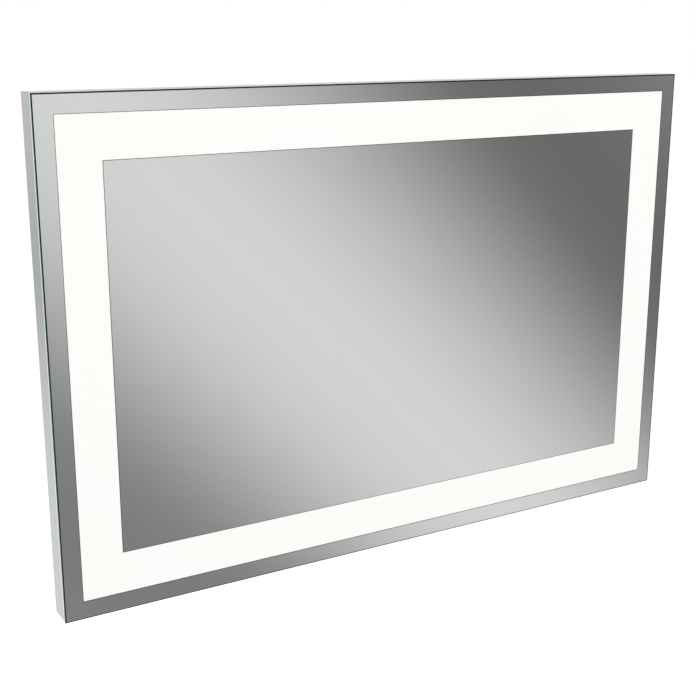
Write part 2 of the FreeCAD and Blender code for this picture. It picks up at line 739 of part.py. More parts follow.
def led_board(label, across, up, length, turn):
    """Light board on the back plate under the middle of the band, with a plug socket at each end."""
    body = new_body(label)
    sketch = new_sketch(body, "XZ_Plane")
    rectangle(sketch, "0", "0", length, "Sizes.board_width")
    pad(body, sketch, "Sizes.board")
    sockets = new_sketch(body, "XZ_Plane", "Sizes.board")
    for end in ("-", "+"):
        middle = "%s ((%s) / 2 - Sizes.socket_inset)" % (end, length)
        rectangle(sockets, middle, "0", "Sizes.socket_length", "Sizes.socket_width")
    pad(body, sockets, "Sizes.socket_rise")
    put(body, across, "-" + PLATE_FRONT, "%s + %s" % (CENTRE_UP, up), turn=turn)


def chip_row(length):
    """Places of the light chips along a board of this length, from its middle."""
    pitch = size("chip_pitch")
    count = int((length - 2 * size("chip_start")) // pitch) + 1
    return [(i - (count - 1) / 2) * pitch for i in range(count)]


def led_boards():
    """The four light boards and the chips soldered on them."""
    across, up = "(Sizes.width / 2 - %s)" % BAND_MIDDLE, "(Sizes.height / 2 - %s)" % BAND_MIDDLE
    long, tall = "2 * (%s - Sizes.board_setback)" % across, "2 * (%s - Sizes.board_setback)" % up
    led_board("led_board_top", "0", up, long, 0)
    led_board("led_board_bottom", "0", "-" + up, long, 0)
    led_board("led_board_left", "-" + across, "0", tall, 90)
    led_board("led_board_right", across, "0", tall, 90)
    half_x, half_z = size("width") / 2 - band_middle, size("height") / 2 - band_middle
    spots = []
    for side in (-1, 1):
        spots += [(along, side * half_z) for along in chip_row(2 * (half_x - size("board_setback")))]
        spots += [(side * half_x, along) for along in chip_row(2 * (half_z - size("board_setback")))]
    length, rise, wide = size("chip_length"), size("chip_rise"), size("chip_width")
    corner = Vector(-length / 2, -plate_front - size("board") - rise, centre_up - wide / 2)
    group("led_chips", [Part.makeBox(length, rise, wide, corner + Vector(x, 0, z)) for x, z in spots])


def led_driver():
    """Slim power supply on the back plate: ribbed case with a screwed tab at each end."""
    body = new_body("led_driver")
    case = new_sketch(body, "XZ_Plane")
    rectangle(case, "0", "0", "Sizes.driver_length", "Sizes.driver_width")
    pad(body, case, "Sizes.driver_rise")
    groove = new_sketch(body, "YZ_Plane")
    rectangle(groove, "-Sizes.driver_rise", "Sizes.groove_edge - Sizes.driver_width / 2",
              "2 * Sizes.groove_depth", "Sizes.groove_width")
    repeat(body, [pocket(body, groove)], groove, "V_Axis", "Sizes.driver_width - 2 * Sizes.groove_edge", 7)
    tabs = new_sketch(body, "XZ_Plane")
    rectangle(tabs, "0", "0", "Sizes.driver_length + 2 * Sizes.driver_tab", "Sizes.tab_width")
    pad(body, tabs, "Sizes.driver_foot")
    fixings = holes(body, DRIVER_SPOTS, "Sizes.screw_diameter + Sizes.hole_fit")
    put(body, DRIVER_ACROSS, "-" + PLATE_FRONT, CENTRE_UP + " + Sizes.driver_up")
    return body, fixings


# ---------------------------------------------------------------- supply box

BOX_UP = "%s + Sizes.box_up" % CENTRE_UP
box_up = centre_up + size("box_up")
FLOOR_DEEP = "(Sizes.plate + Sizes.box_depth - Sizes.box_wall)"
floor_deep = size("plate") + size("box_depth") - size("box_wall")
POLE_ROWS = ("-Sizes.pole_pitch", "0", "Sizes.pole_pitch")


def terminal_box():
    """Moulded tray sunk through the plate: a rim on the plate's back and a slot for the leads in each end."""
    body = new_body("terminal_box")
    tray = new_sketch(body, "XZ_Plane")
    rectangle(tray, "0", "0", "Sizes.box_width", "Sizes.box_height")
    pad(body, tray, "Sizes.box_depth + Sizes.plate")
    rim = new_sketch(body, "XZ_Plane")
    rectangle(rim, "0", "0", "Sizes.box_width + 2 * Sizes.box_rim", "Sizes.box_height + 2 * Sizes.box_rim")
    pad(body, rim, "Sizes.box_wall", reverse=True)
    hollow = new_sketch(body, "XZ_Plane", "-Sizes.box_wall")
    inside = "Sizes.box_%s - 2 * Sizes.box_wall"
    rectangle(hollow, "0", "0", inside % "width", inside % "height")
    pocket(body, hollow, "Sizes.box_depth + Sizes.plate", reverse=True)
    exits = new_sketch(body, "YZ_Plane")
    wide = "Sizes.lead_diameter + Sizes.hole_fit"
    rectangle(exits, "Sizes.wire_line - " + FLOOR_DEEP, "0", wide, "2 * Sizes.pole_pitch + " + wide)
    pocket(body, exits)
    holes(body, LID_SPOTS, "Sizes.screw_diameter + Sizes.hole_fit")
    put(body, "0", "-" + PLATE_BACK, BOX_UP)


def terminal_lid():
    """Lid over the tray with a hole for the grommet and two screws into the rim."""
    body = new_body("terminal_lid")
    sketch = new_sketch(body, "XZ_Plane")
    rectangle(sketch, "0", "0", "Sizes.box_width + 2 * Sizes.box_rim", "Sizes.box_height + 2 * Sizes.box_rim")
    pad(body, sketch, "Sizes.box_lid", reverse=True)
    thick = size("box_lid")
    round_edges(body, lambda edge: abs(edge.Length - thick) < 0.01, "Sizes.lid_corner")
    entry = new_sketch(body, "XZ_Plane")
    circle(entry, "Sizes.entry_across", "0", "Sizes.grommet_bore + 2 * Sizes.grommet_wall")
    pocket(body, entry)
    fixings = holes(body, LID_SPOTS, "Sizes.screw_diameter + Sizes.hole_fit")
    put(body, "0", "-(%s - Sizes.box_wall)" % PLATE_BACK, BOX_UP)
    return body, fixings


def cable_grommet():
    """Rubber ring in the lid, grooved round its rim, that the supply cable comes in through."""
    bore, lid, rise = size("grommet_bore") / 2, size("box_lid"), size("grommet_rise")
    neck = bore + size("grommet_wall") - size("ring_fit")
    flare = neck + size("grommet_flare")
    rubber = turned([(bore, -rise), (flare, -rise), (flare, 0), (neck, 0), (neck, lid), (flare, lid),
                     (neck, lid + rise), (bore, lid + rise)])
    spot = Vector(size("entry_across"), size("box_wall") - plate_back, box_up)
    group("cable_grommet", [moved(rubber, spot)])


def terminal_block():
    """Three-pole screw terminal on the tray's floor: a wire way and two screw wells for each pole."""
    body = new_body("terminal_block")
    case = new_sketch(body, "XZ_Plane")
    rectangle(case, "0", "0", "Sizes.block_width", "3 * Sizes.pole_pitch")
    pad(body, case, "Sizes.block_rise", reverse=True)
    wires = new_sketch(body, "YZ_Plane")
    wells = new_sketch(body, "XZ_Plane", "-Sizes.block_rise")
    wide = "Sizes.lead_diameter + Sizes.hole_fit"
    for up in POLE_ROWS:
        rectangle(wires, "Sizes.wire_line", up, wide, wide)
        for side in ("-", "+"):
            octagon(wells, side + " Sizes.block_width / 4", up, "Sizes.well_diameter")
    pocket(body, wires)
    pocket(body, wells, "Sizes.block_rise - Sizes.wire_line - Sizes.lead_diameter / 2")
    put(body, "-Sizes.block_left", "-(%s + %s)" % (PLATE_BACK, FLOOR_DEEP), BOX_UP)


# ---------------------------------------------------------------- sensor

sensor_x = size("width") / 2 - size("sensor_inset")


def motion_sensor():
    """Hand sensor in the bottom side of the frame, looking down through a lens flush with the frame."""
    radius, long, seat = size("sensor_diameter") / 2, size("sensor_length"), size("lens_seat")
    spot = Vector(sensor_x, -strip_back, centre_up - size("height") / 2)
    base = Vector(0, 0, size("wall") + size("key_fit"))
    neck = radius - size("lens_step")
    case = Part.makeBox(long, 2 * radius, size("sensor_rise"), spot + base - Vector(long / 2, radius, 0))
    hole = Part.makeCylinder(neck + size("ring_fit"), seat, spot + base)
    lens = Part.makeCylinder(radius - size("ring_fit"), base.z, spot)
    stem = Part.makeCylinder(neck, seat, spot + base)
    group("motion_sensor", [case.cut(hole)])
    group("sensor_lens", [lens.fuse(stem).removeSplitter()])


# ---------------------------------------------------------------- leads

def lead(name, points):
    """A six-sided lead: straight runs joined by tangent arcs, each as large as the shorter run allows."""
    runs = [points[i + 1] - points[i] for i in range(len(points) - 1)]
    ways = [Vector(run).normalize() for run in runs]
    edges, radii = [], []
    start = points[0]
    for i in range(1, len(points) - 1):
        half_turn = ways[i - 1].getAngle(ways[i]) / 2
        back = 0.45 * min(runs[i - 1].Length, runs[i].Length)
        radius = back / math.tan(half_turn)
        first, last = points[i] - ways[i - 1] * back, points[i] + ways[i] * back
        inward = (ways[i] - ways[i - 1]).normalize()
        middle = points[i] + inward * (radius / math.cos(half_turn) - radius)
        edges += [Part.LineSegment(start, first).toShape(), Part.Arc(first, middle, last).toShape()]
        radii.append(radius)
        start = last
    edges.append(Part.LineSegment(start, points[-1]).toShape())
    path = Part.Wire(edges)
    section = ring(size("lead_diameter") / 2, 0, 6)
    section.Placement = FreeCAD.Placement(points[0], FreeCAD.Rotation(Vector(0, 1, 0), runs[0]))
    tube = path.makePipeShell([section], True, False)
    expected = Part.Face(section).Area * path.Length
    print("%s: %.0f mm long, least radius %.1f mm, volume over section times length %.4f"
          % (name, path.Length, min(radii), tube.Volume / expected))
    return tube


def clip(start, end):
    """Saddle over the middle of a lead's run: a low block with a channel, open towards the plate."""
    half, wall, foot = size("lead_diameter") / 2 + size("lead_fit"), size("clip_wall"), size("clip_foot")
    long, rise = size("clip_length"), half - start.y - plate_front
    block = Part.makeBox(long, rise + wall, 2 * (half + foot), Vector(-long / 2, -half - wall, -half - foot))
    block = block.cut(Part.makeBox(long, rise, 2 * half, Vector(-long / 2, -half, -half)))
    block.Placement = FreeCAD.Placement((start + end) / 2, FreeCAD.Rotation(Vector(1, 0, 0), end - start))
    return block.copy()


def leads():
    """Leads on the front of the back plate: supply, earth, light, demister and sensor, held by saddles."""
    bend, row, rest = size("lead_bend"), size("pole_pitch"), size("lead_fit") + size("lead_diameter") / 2
    lie, board_y = -plate_front - rest, -plate_front - size("board") - rest
    pole_y, driver_y = size("wire_line") - plate_back - floor_deep, -plate_front - size("driver_rise") / 2
    block_left = -size("block_left") - size("block_width") / 2
    block_right = block_left + size("block_width")
    box_left, box_right = -size("box_width") / 2, size("box_width") / 2
    driver_z = centre_up + size("driver_up")
    driver_left = -size("driver_left") - size("driver_length") / 2
    driver_right = driver_left + size("driver_length")
    board_x, board_up = size("width") / 2 - band_middle, size("height") / 2 - band_middle
    board_top, board_low = centre_up + board_up, centre_up - board_up

    # from the middle pole, beside the box and up to the driver's right-hand end
    group("supply_lead", [lead("supply", [
        Vector(block_left, pole_y, box_up), Vector(box_left - bend, pole_y, box_up),
        Vector(box_left - 2.5 * bend, lie, box_up + bend),
        Vector(0.5 * (box_left + driver_right), lie, 0.5 * (box_up + driver_z)),
        Vector(driver_right + 2.4 * bend, lie, driver_z - 0.3 * bend),
        Vector(driver_right + 1.2 * bend, driver_y, driver_z + 0.4 * bend),
        Vector(driver_right, driver_y, driver_z + 0.4 * bend)])])

    # from the lower pole to the stud's ring tag
    stud = Vector(box_left - size("earth_out"), 0, box_up - size("box_height") / 2)
    nut_corner = size("nut_width") / 2 / math.cos(math.pi / 6)
    tag_y, tag_end = lie - size("tag_rise"), stud.x + nut_corner + size("lead_diameter") / 3
    group("earth_lead", [lead("earth", [
        Vector(block_left, pole_y, box_up - row), Vector(box_left - 0.6 * bend, pole_y, box_up - row),
        Vector(box_left - 1.5 * bend, tag_y, box_up - row - 0.2 * bend), Vector(tag_end, tag_y, stud.z)])])

    # from the upper pole forward on to the demister pad
    pad_y = size("film") + size("pad") + rest - glass_back
    group("demister_lead", [lead("demister", [
        Vector(block_right, pole_y, box_up + row), Vector(box_right + bend, pole_y, box_up + row),
        Vector(box_right + 2.4 * bend, pole_y - 0.2 * bend, box_up + row + 0.7 * bend),
        Vector(box_right + 3.2 * bend, pad_y, box_up + row + 1.9 * bend),
        Vector(box_right + 3.3 * bend, pad_y, box_up + row + 2.9 * bend)])])

    # from the driver's left-hand end up beside the left-hand board to its top socket
    socket_x = size("socket_width") / 2 - board_x
    socket_z = board_top - size("board_setback") - size("socket_inset")
    column, climb = 0.5 * (driver_left + socket_x), socket_z - driver_z
    feed = [Vector(driver_left, driver_y, driver_z), Vector(driver_left - bend, driver_y, driver_z),
            Vector(column + 0.2 * bend, lie, driver_z + bend), Vector(column, lie, driver_z + 0.4 * climb),
            Vector(column - 0.1 * bend, lie, driver_z + 0.7 * climb),
            Vector(socket_x + bend, board_y, socket_z), Vector(socket_x, board_y, socket_z)]
    group("feed_lead", [lead("feed", feed)])

    # round three corners, from board to board
    links = []
    for right, top in ((-1, 1), (1, 1), (1, -1)):
        corner = Vector(right * board_x, board_y, board_top if top > 0 else board_low)
        links.append(lead("link", [corner - Vector(right * size("board_setback"), 0, 0), corner,
                                   corner - Vector(0, 0, top * size("board_setback"))]))
    group("link_leads", links)

    # from the hand sensor over the lower board, along the plate under the box and up to the driver
    sensor_top = board_low - band_middle + size("wall") + size("key_fit") + size("sensor_rise")
    start = Vector(sensor_x - 0.3 * bend, lie, board_low + 2.4 * bend)
    end = Vector(driver_right + 1.6 * bend, lie, driver_z - 0.7 * bend)
    sensor = [Vector(sensor_x, -strip_back, sensor_top), Vector(sensor_x, -strip_back, sensor_top + bend),
              Vector(sensor_x + 0.1 * bend, board_y - 0.2 * bend, board_low + 0.4 * bend)]
    for across, up in ((0, 0), (0.1, 0.15), (0.25, 0.19), (0.42, 0.22), (0.58, 0.24), (0.75, 0.28),
                       (0.9, 0.38), (1, 0.6), (0.99, 0.85)):
        sensor.append(Vector(start.x + across * (end.x - start.x), lie, start.z + up * (end.z - start.z)))
    sensor += [Vector(driver_right + bend, driver_y, end.z), Vector(driver_right, driver_y, end.z)]
    group("sensor_lead", [lead("sensor", sensor)])
    group("lead_clips", [clip(*feed[2:4]), clip(*sensor[4:6]), clip(*sensor[6:8]), clip(*sensor[9:11])])

    # stud through the plate with the ring tag and a nut on it
    shank, wide = size("grub_diameter") / 2, size("nut_width") / 2
    body = eight_sided([(shank, -plate_front - size("stud_reach")), (shank, -plate_back),
                        (wide, -plate_back), (wide, size("stud_head") - plate_back)])
    rise, deep = size("tag_rise"), size("nut_rise")
    hole = eight_sided([(shank + size("ring_fit"), -deep), (shank + size("ring_fit"), 0)])
    nut = Part.Face(ring(nut_corner, 0, 6)).extrude(Vector(0, -deep, 0)).cut(hole)
    tag = Part.Face(ring(size("tag_diameter") / 2, 0)).extrude(Vector(0, -rise, 0)).cut(hole)
    group("earth_stud", [moved(body, stud)])
    group("earth_nut", [moved(nut, stud - Vector(0, plate_front + rise, 0))])
    group("earth_tag", [moved(tag, stud - Vector(0, plate_front, 0))])


# ---------------------------------------------------------------- the whole mirror

mirror_pane()
safety_film()
bonding_tape()
frame()
corner_keys()
diffusers()
plate_body, plate_holes, bumper_holes = back_plate()
hanger_body, hanger_holes = hanger_rail()
wall_rail()
led_boards()
driver_body, driver_holes = led_driver()
terminal_box()
lid_body, lid_holes = terminal_lid()
cable_grommet()
terminal_block()
demister_pad()
motion_sensor()
doc.recompute()

point = size("screw_point")
group("plate_screws", [moved(pan_screw(size("plate") + size("screw_bite")), spot)
                       for spot in centres(plate_body, plate_holes)])
group("hanger_rivets", [moved(rivet(), spot - Vector(0, plate_back - size("rail"), 0))
                        for spot in centres(hanger_body, hanger_holes)])
screw = pan_screw(size("driver_foot") + size("plate") + point)
screw.rotate(Vector(), Vector(1, 0, 0), 180)
group("driver_screws", [moved(screw, spot - Vector(0, size("driver_foot"), 0))
                        for spot in centres(driver_body, driver_holes)])
screw = pan_screw(size("box_lid") + size("box_wall") + size("plate") + point)
group("lid_screws", [moved(screw, spot + Vector(0, size("box_lid"), 0))
                     for spot in centres(lid_body, lid_holes)])
bumpers(centres(plate_body, bumper_holes))
leads()
doc.recompute()

# ---------------------------------------------------------------- checks and files

os.makedirs("parts", exist_ok=True)
for item in doc.Objects:
    if "Invalid" in item.State or "Error" in item.State:
        raise RuntimeError("%s failed: %s" % (item.Label, item.State))
for node in nodes:
    if node.Shape.isNull() or not node.Shape.isValid():
        raise RuntimeError("%s has no valid shape" % node.Label)
    node.Shape.exportStep("parts/%s.step" % node.Label)
print("%d sub-parts" % len(nodes))
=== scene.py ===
"""A wall-hung bathroom mirror with an etched light band, dressed for its portrait.

The file follows the real thing as it is put together: the pane and its light band, the frame, what lies
behind the glass, and the back with its screws, rails and bumpers. The studio comes last.
Everything is in metres: x to the right, y into the wall, z up, and the wall's face is y = 0.
"""
import math
import bpy
import numpy as np
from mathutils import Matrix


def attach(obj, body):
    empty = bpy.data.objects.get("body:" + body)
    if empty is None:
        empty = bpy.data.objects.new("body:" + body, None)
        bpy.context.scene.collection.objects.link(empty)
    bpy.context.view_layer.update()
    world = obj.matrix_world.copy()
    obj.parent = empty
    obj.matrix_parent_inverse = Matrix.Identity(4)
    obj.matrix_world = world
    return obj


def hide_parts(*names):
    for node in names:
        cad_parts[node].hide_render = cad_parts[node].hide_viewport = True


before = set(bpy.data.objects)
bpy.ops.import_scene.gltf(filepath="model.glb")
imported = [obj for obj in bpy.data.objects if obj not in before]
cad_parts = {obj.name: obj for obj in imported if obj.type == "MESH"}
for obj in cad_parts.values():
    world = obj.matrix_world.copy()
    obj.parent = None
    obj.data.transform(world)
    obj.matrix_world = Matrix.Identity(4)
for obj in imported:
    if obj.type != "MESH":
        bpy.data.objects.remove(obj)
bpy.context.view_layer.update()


# ---- Mirror pane ------------------------------------------------------------------------------------
# 5 mm float glass, silvered and painted on its back. Its edges are ground square, with a fine arris along
# them, and it is taped to the frame's front flange. Nothing of the mirror is wider, higher or further out.

def linear(code):
    """Turn an sRGB hex colour into the linear red, green, blue and alpha that the shaders take."""
    parts = [int(code[i:i + 2], 16) / 255 for i in (1, 3, 5)]
    return [p / 12.92 if p <= 0.04045 else ((p + 0.055) / 1.055) ** 2.4 for p in parts] + [1.0]


def grey(value):
    """A ramp stop that carries a plain number."""
    return [value, value, value, 1.0]


def cells(mm):
    """How many cells of a pattern go into a metre, from the real size of one in millimetres."""
    return 1000 / mm


def add(owner, kind, settings={}, inputs={}):
    """Add one node to a material, lamp or world, with its settings and what goes into its sockets.

    `stops` among the settings are a colour ramp's places and colours. An input is a value, a socket, or
    another node, which stands for its first output.
    """
    node = owner.node_tree.nodes.new("ShaderNode" + kind)
    for name, value in settings.items():
        if name != "stops":
            setattr(node, name, value)
            continue
        ramp = node.color_ramp.elements
        ramp[0].position, ramp[1].position = value[0][0], value[-1][0]
        ramp[0].color, ramp[1].color = value[0][1], value[-1][1]
        for place, colour in value[1:-1]:
            ramp.new(place).color = colour
    for name, value in inputs.items():
        if isinstance(value, bpy.types.Node):
            value = value.outputs[0]
        if isinstance(value, bpy.types.NodeSocket):
            owner.node_tree.links.new(value, node.inputs[name])
        else:
            node.inputs[name].default_value = value
    return node


def finish(name):
    """Start a material with an empty set of nodes."""
    made = bpy.data.materials.new(name)
    made.use_nodes = True
    made.node_tree.nodes.clear()
    return made


def coat(made, shader, *names):
    """End a material in its shader, and put it on these pieces of the frame."""
    add(made, "OutputMaterial", {}, {"Surface": shader})
    for name in names:
        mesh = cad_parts[name].data
        mesh.materials.clear()
        mesh.materials.append(made)
    return made


# The pane's outside sizes are the frame's own, read from its solid to the nearest micrometre.
corners = np.array([corner.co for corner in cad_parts["mirror_pane"].data.vertices]).round(6)
(left, face, low), (right, back, high) = corners.min(0), corners.max(0)
WIDTH, HEIGHT, GLASS = right - left, high - low, back - face
CENTRE_Z, GLASS_FACE = (high + low) / 2, face
ARRIS, BAND_START, BAND_END = 0.001, 0.0225, 0.0725

# Silvered glass: the eye sees the silver through the front, and the back is painted grey. The front arris
# is painted nearly black bottle green, in place of what refraction shows looking down into the glass. The
# edge and the back arris are painted pale mint, as painted light that they catch. What a face is follows
# from its turn: 0 is straight forward, 1 straight back. A faint painted glow on the edge and the back arris
# stands for the band's light that strays sideways in the glass and leaves there.
KINDS = (0.0, 0.05, 0.35, 0.65, 0.95)        # where front, front arris, edge, back arris and back begin
COLOURS = ("#F6F7F7", "#062018", "#DDF5EA", "#DDF7EB", "#8B8F91")
SILVERED, ROUGH, STRAY = (1, 0, 0, 0, 0), (0.012, 0.25, 0.3, 0.35, 0.5), (0, 0, 0.4, 0.4, 0)
silvered = finish("silvered float glass with ground edges")
where = add(silvered, "TexCoord")
facing = add(silvered, "SeparateXYZ", {}, {0: where.outputs["Normal"]}).outputs["Y"]
turn = add(silvered, "MapRange", {}, {"Value": facing, "From Min": -1.0, "From Max": 1.0})
look, silver, polish, stray = (
    add(silvered, "ValToRGB", {"stops": list(zip(KINDS, stops))}, {0: turn})
    for stops in (map(linear, COLOURS), map(grey, SILVERED), map(grey, ROUGH), map(grey, STRAY)))
for ramp in (look, silver, polish, stray):
    ramp.color_ramp.interpolation = "CONSTANT"

# Grinding leaves the edge a little darker and lighter along its length, in patches of about 20 mm.
ground = add(silvered, "TexNoise", {}, {
    "Vector": where.outputs["Object"], "Scale": cells(20), "Detail": 3.0, "Roughness": 0.6})
patchy = add(silvered, "MapRange", {}, {"Value": ground, "To Min": 0.86, "To Max": 1.14})
on_edge = add(silvered, "Mix", {"data_type": "FLOAT"}, {0: silver, 2: patchy, 3: 1.0})
tone = add(silvered, "Mix", {"data_type": "RGBA", "blend_type": "MULTIPLY"}, {
    0: 1.0, 6: look, 7: on_edge.outputs[0]})

# The ground edge is painted dark green down to DARK_DEPTH behind the face, in place of what refraction
# shows of it through the glass. Only the rest of it, next to the frame, keeps the painted pale mint of the
# back arris. SIDEWAYS keeps the dark off the two arrises.
DARK_DEPTH, SIDEWAYS = 0.0037, 0.3
spot = add(silvered, "SeparateXYZ", {}, {0: where.outputs["Object"]})
aside = add(silvered, "Math", {"operation": "ABSOLUTE"}, {0: facing})
on_ground = add(silvered, "Math", {"operation": "LESS_THAN"}, {0: aside, 1: SIDEWAYS})
fore = add(silvered, "Math", {"operation": "LESS_THAN"}, {0: spot.outputs["Y"], 1: GLASS_FACE + DARK_DEPTH})
dark_edge = add(silvered, "Math", {"operation": "MULTIPLY"}, {0: on_ground, 1: fore})
tone = add(silvered, "Mix", {"data_type": "RGBA"}, {0: dark_edge, 6: tone.outputs[2], 7: linear("#123A2F")})

# A fine dark line is painted along both sides of the light band.
# `inward` is the distance in from the nearest outside edge.
LINE, LINE_DARK = 0.0007, 0.78
side = add(silvered, "Math", {"operation": "ABSOLUTE"}, {0: spot.outputs["X"]})
from_side = add(silvered, "Math", {"operation": "SUBTRACT"}, {0: WIDTH / 2, 1: side})
level = add(silvered, "Math", {"operation": "SUBTRACT"}, {0: spot.outputs["Z"], 1: CENTRE_Z})
height = add(silvered, "Math", {"operation": "ABSOLUTE"}, {0: level})
from_top = add(silvered, "Math", {"operation": "SUBTRACT"}, {0: HEIGHT / 2, 1: height})
inward = add(silvered, "Math", {"operation": "MINIMUM"}, {0: from_side, 1: from_top})
outer_line, inner_line = (
    add(silvered, "Math", {"operation": "COMPARE"}, {0: inward, 1: place, 2: LINE / 2})
    for place in (BAND_START - LINE / 2, BAND_END + LINE / 2))
band_lines = add(silvered, "Math", {"operation": "MAXIMUM"}, {0: outer_line, 1: inner_line})
line_strength = add(silvered, "Math", {"operation": "MULTIPLY"}, {0: band_lines, 1: LINE_DARK})
lined = add(silvered, "Mix", {"data_type": "RGBA"}, {0: line_strength, 6: tone.outputs[2], 7: linear("#3A3C3C")})

# Just inside the arris a dark green rim is painted, in place of what refraction shows of the edge through
# the front: fine along the top and the bottom, and wider down the right.
RIM_LEVEL, RIM_RIGHT = 0.0006, 0.0012
from_right = add(silvered, "Math", {"operation": "SUBTRACT"}, {0: WIDTH / 2, 1: spot.outputs["X"]})
rim_right = add(silvered, "Math", {"operation": "LESS_THAN"}, {0: from_right, 1: ARRIS + RIM_RIGHT})
rim_level = add(silvered, "Math", {"operation": "LESS_THAN"}, {0: from_top, 1: ARRIS + RIM_LEVEL})
green_rim = add(silvered, "Math", {"operation": "MAXIMUM"}, {0: rim_right, 1: rim_level})
on_front = add(silvered, "Math", {"operation": "MULTIPLY"}, {0: green_rim, 1: silver})
rimmed = add(silvered, "Mix", {"data_type": "RGBA"}, {0: on_front, 6: lined.outputs[2], 7: linear("#12332A")})

# Wiping leaves faint traces about 60 mm wide, which only show as a slightly softer reflection.
wiped = add(silvered, "TexNoise", {}, {"Vector": where.outputs["Object"], "Scale": cells(60)})
trace = add(silvered, "MapRange", {}, {"Value": wiped, "To Min": 0.0, "To Max": 0.008})
gloss = add(silvered, "Math", {"operation": "ADD"}, {0: polish, 1: trace})
glass = add(silvered, "BsdfPrincipled", {}, {
    "Base Color": rimmed.outputs[2], "Metallic": silver, "Roughness": gloss, "IOR": 1.52,
    "Specular IOR Level": 0.12, "Emission Color": rimmed.outputs[2], "Emission Strength": stray})
coat(silvered, glass, "mirror_pane")
silvered.cycles.emission_sampling = "NONE"


# ---- Light band -------------------------------------------------------------------------------------
# Along all four edges the silver is taken off and the glass is etched, so that one closed ring of satin
# white lets the light out. The ring lies in the shallow recess that the etching leaves in the pane.

ETCH_DEPTH = 0.0003
RECESS_FLOOR = GLASS_FACE + ETCH_DEPTH


def skin(name, shells, smooth=35):
    """Make one mesh object, at the origin, from closed shells given as whole arrays of points.

    A shell is (rows, columns, 3). Its columns go right round. Its first and last rows are poles, where
    all columns meet in a point, or else the last row joins the first. Quads are laid between the rows,
    triangles at a pole, and each shell is turned so that its faces point outwards.
    """
    points, faces, start = [], [], 0
    for shell in shells:
        rows, columns = shell.shape[:2]
        index = np.arange(rows * columns).reshape(rows, columns)
        if np.allclose(shell[0], shell[0, 0]):
            index[0], index[-1] = index[0, 0], index[-1, 0]
        else:
            index = np.vstack([index, index[:1]])
        a, d = index[:-1], index[1:]
        quads = np.stack([a, d, np.roll(d, -1, 1), np.roll(a, -1, 1)], -1).reshape(-1, 4)
        flat = shell.reshape(-1, 3)
        p, q, r, s = (flat[quads[:, i]] for i in range(4))
        volume = np.sum(p * np.cross(q, r)) + np.sum(p * np.cross(r, s))
        if volume < 0:
            quads = quads[:, ::-1]
        used, quads = np.unique(quads, return_inverse=True)
        quads = quads.reshape(-1, 4) + start
        same = quads == np.roll(quads, -1, 1)
        faces += quads[~same.any(1)].tolist()
        for side in range(4):
            tips = quads[same[:, side]]
            faces += np.delete(tips, side, 1).tolist()
        points.append(flat[used])
        start += len(used)
    mesh = bpy.data.meshes.new(name)
    mesh.from_pydata(np.concatenate(points), [], faces)
    mesh.shade_smooth()
    mesh.set_sharp_from_angle(angle=math.radians(smooth))
    made = bpy.data.objects.new(name, mesh)
    bpy.context.scene.collection.objects.link(made)
    return made


def round_the_pane(profile):
    """Carry a closed profile round the pane, mitred at the corners.

    profile is (points, 2): how far in from the pane's outside edge, and y. At each corner a point lies
    at x = +-(half the width - in), z = centre +- (half the height - in).
    """
    inset, depth = profile.T
    across, up = (np.array(signs)[None, :] for signs in ((-1, 1, 1, -1), (-1, -1, 1, 1)))
    x = across * (WIDTH / 2 - inset[:, None])
    z = CENTRE_Z + up * (HEIGHT / 2 - inset[:, None])
    return np.stack([x, np.repeat(depth[:, None], 4, 1), z], -1)


# The ring stays EDGE_GAP clear of the recess's walls and SINK under the face of the glass, and the corners
# along its edges are cut off by EDGE_ROUND.
EDGE_GAP, SINK, EDGE_ROUND = 0.0001, 0.00004, 0.00008
lip = GLASS_FACE + SINK
band = skin("light_band", [round_the_pane(np.array([
    (BAND_START + EDGE_GAP, RECESS_FLOOR), (BAND_START + EDGE_GAP, lip + EDGE_ROUND),
    (BAND_START + EDGE_GAP + EDGE_ROUND, lip), (BAND_END - EDGE_GAP - EDGE_ROUND, lip),
    (BAND_END - EDGE_GAP, lip + EDGE_ROUND), (BAND_END - EDGE_GAP, RECESS_FLOOR)]))])
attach(band, "mirror")

# Etched glass with light behind it: even white, a breath warmer in soft stretches about as long as the
# space between two groups of lamps, and a very fine satin grain from the acid.
etched = finish("acid-etched satin glass, lit")
place = add(etched, "TexCoord").outputs["Object"]
drift = add(etched, "TexNoise", {}, {"Vector": place, "Scale": cells(150), "Detail": 1.0})
glow = add(etched, "ValToRGB", {"stops": [
    (0.38, linear("#FFFEFD")), (0.66, linear("#FFFEF9"))]}, {0: drift})
acid = add(etched, "TexNoise", {}, {"Vector": place, "Scale": cells(0.9), "Detail": 2.0})
satin = add(etched, "MapRange", {}, {"Value": acid, "To Min": 0.5, "To Max": 0.62})
bite = add(etched, "Bump", {}, {"Height": acid, "Strength": 0.15, "Distance": 0.00002})
lit = add(etched, "BsdfPrincipled", {}, {
    "Base Color": linear("#A9A9A6"), "Roughness": satin, "IOR": 1.52, "Normal": bite,
    "Emission Color": glow, "Emission Strength": 0.62})
band.data.materials.append(etched)
add(etched, "OutputMaterial", {}, {"Surface": lit})


# ---- Frame ------------------------------------------------------------------------------------------
# Four aluminium extrusions, sawn to mitres and satin anodised. Each has an outer wall, a flange that the
# glass is taped to, a ledge for the back plate, and a channel that its screws cut their thread in.

MITRE_LINE, LIT_CORNER = 0.00044, 0.0014


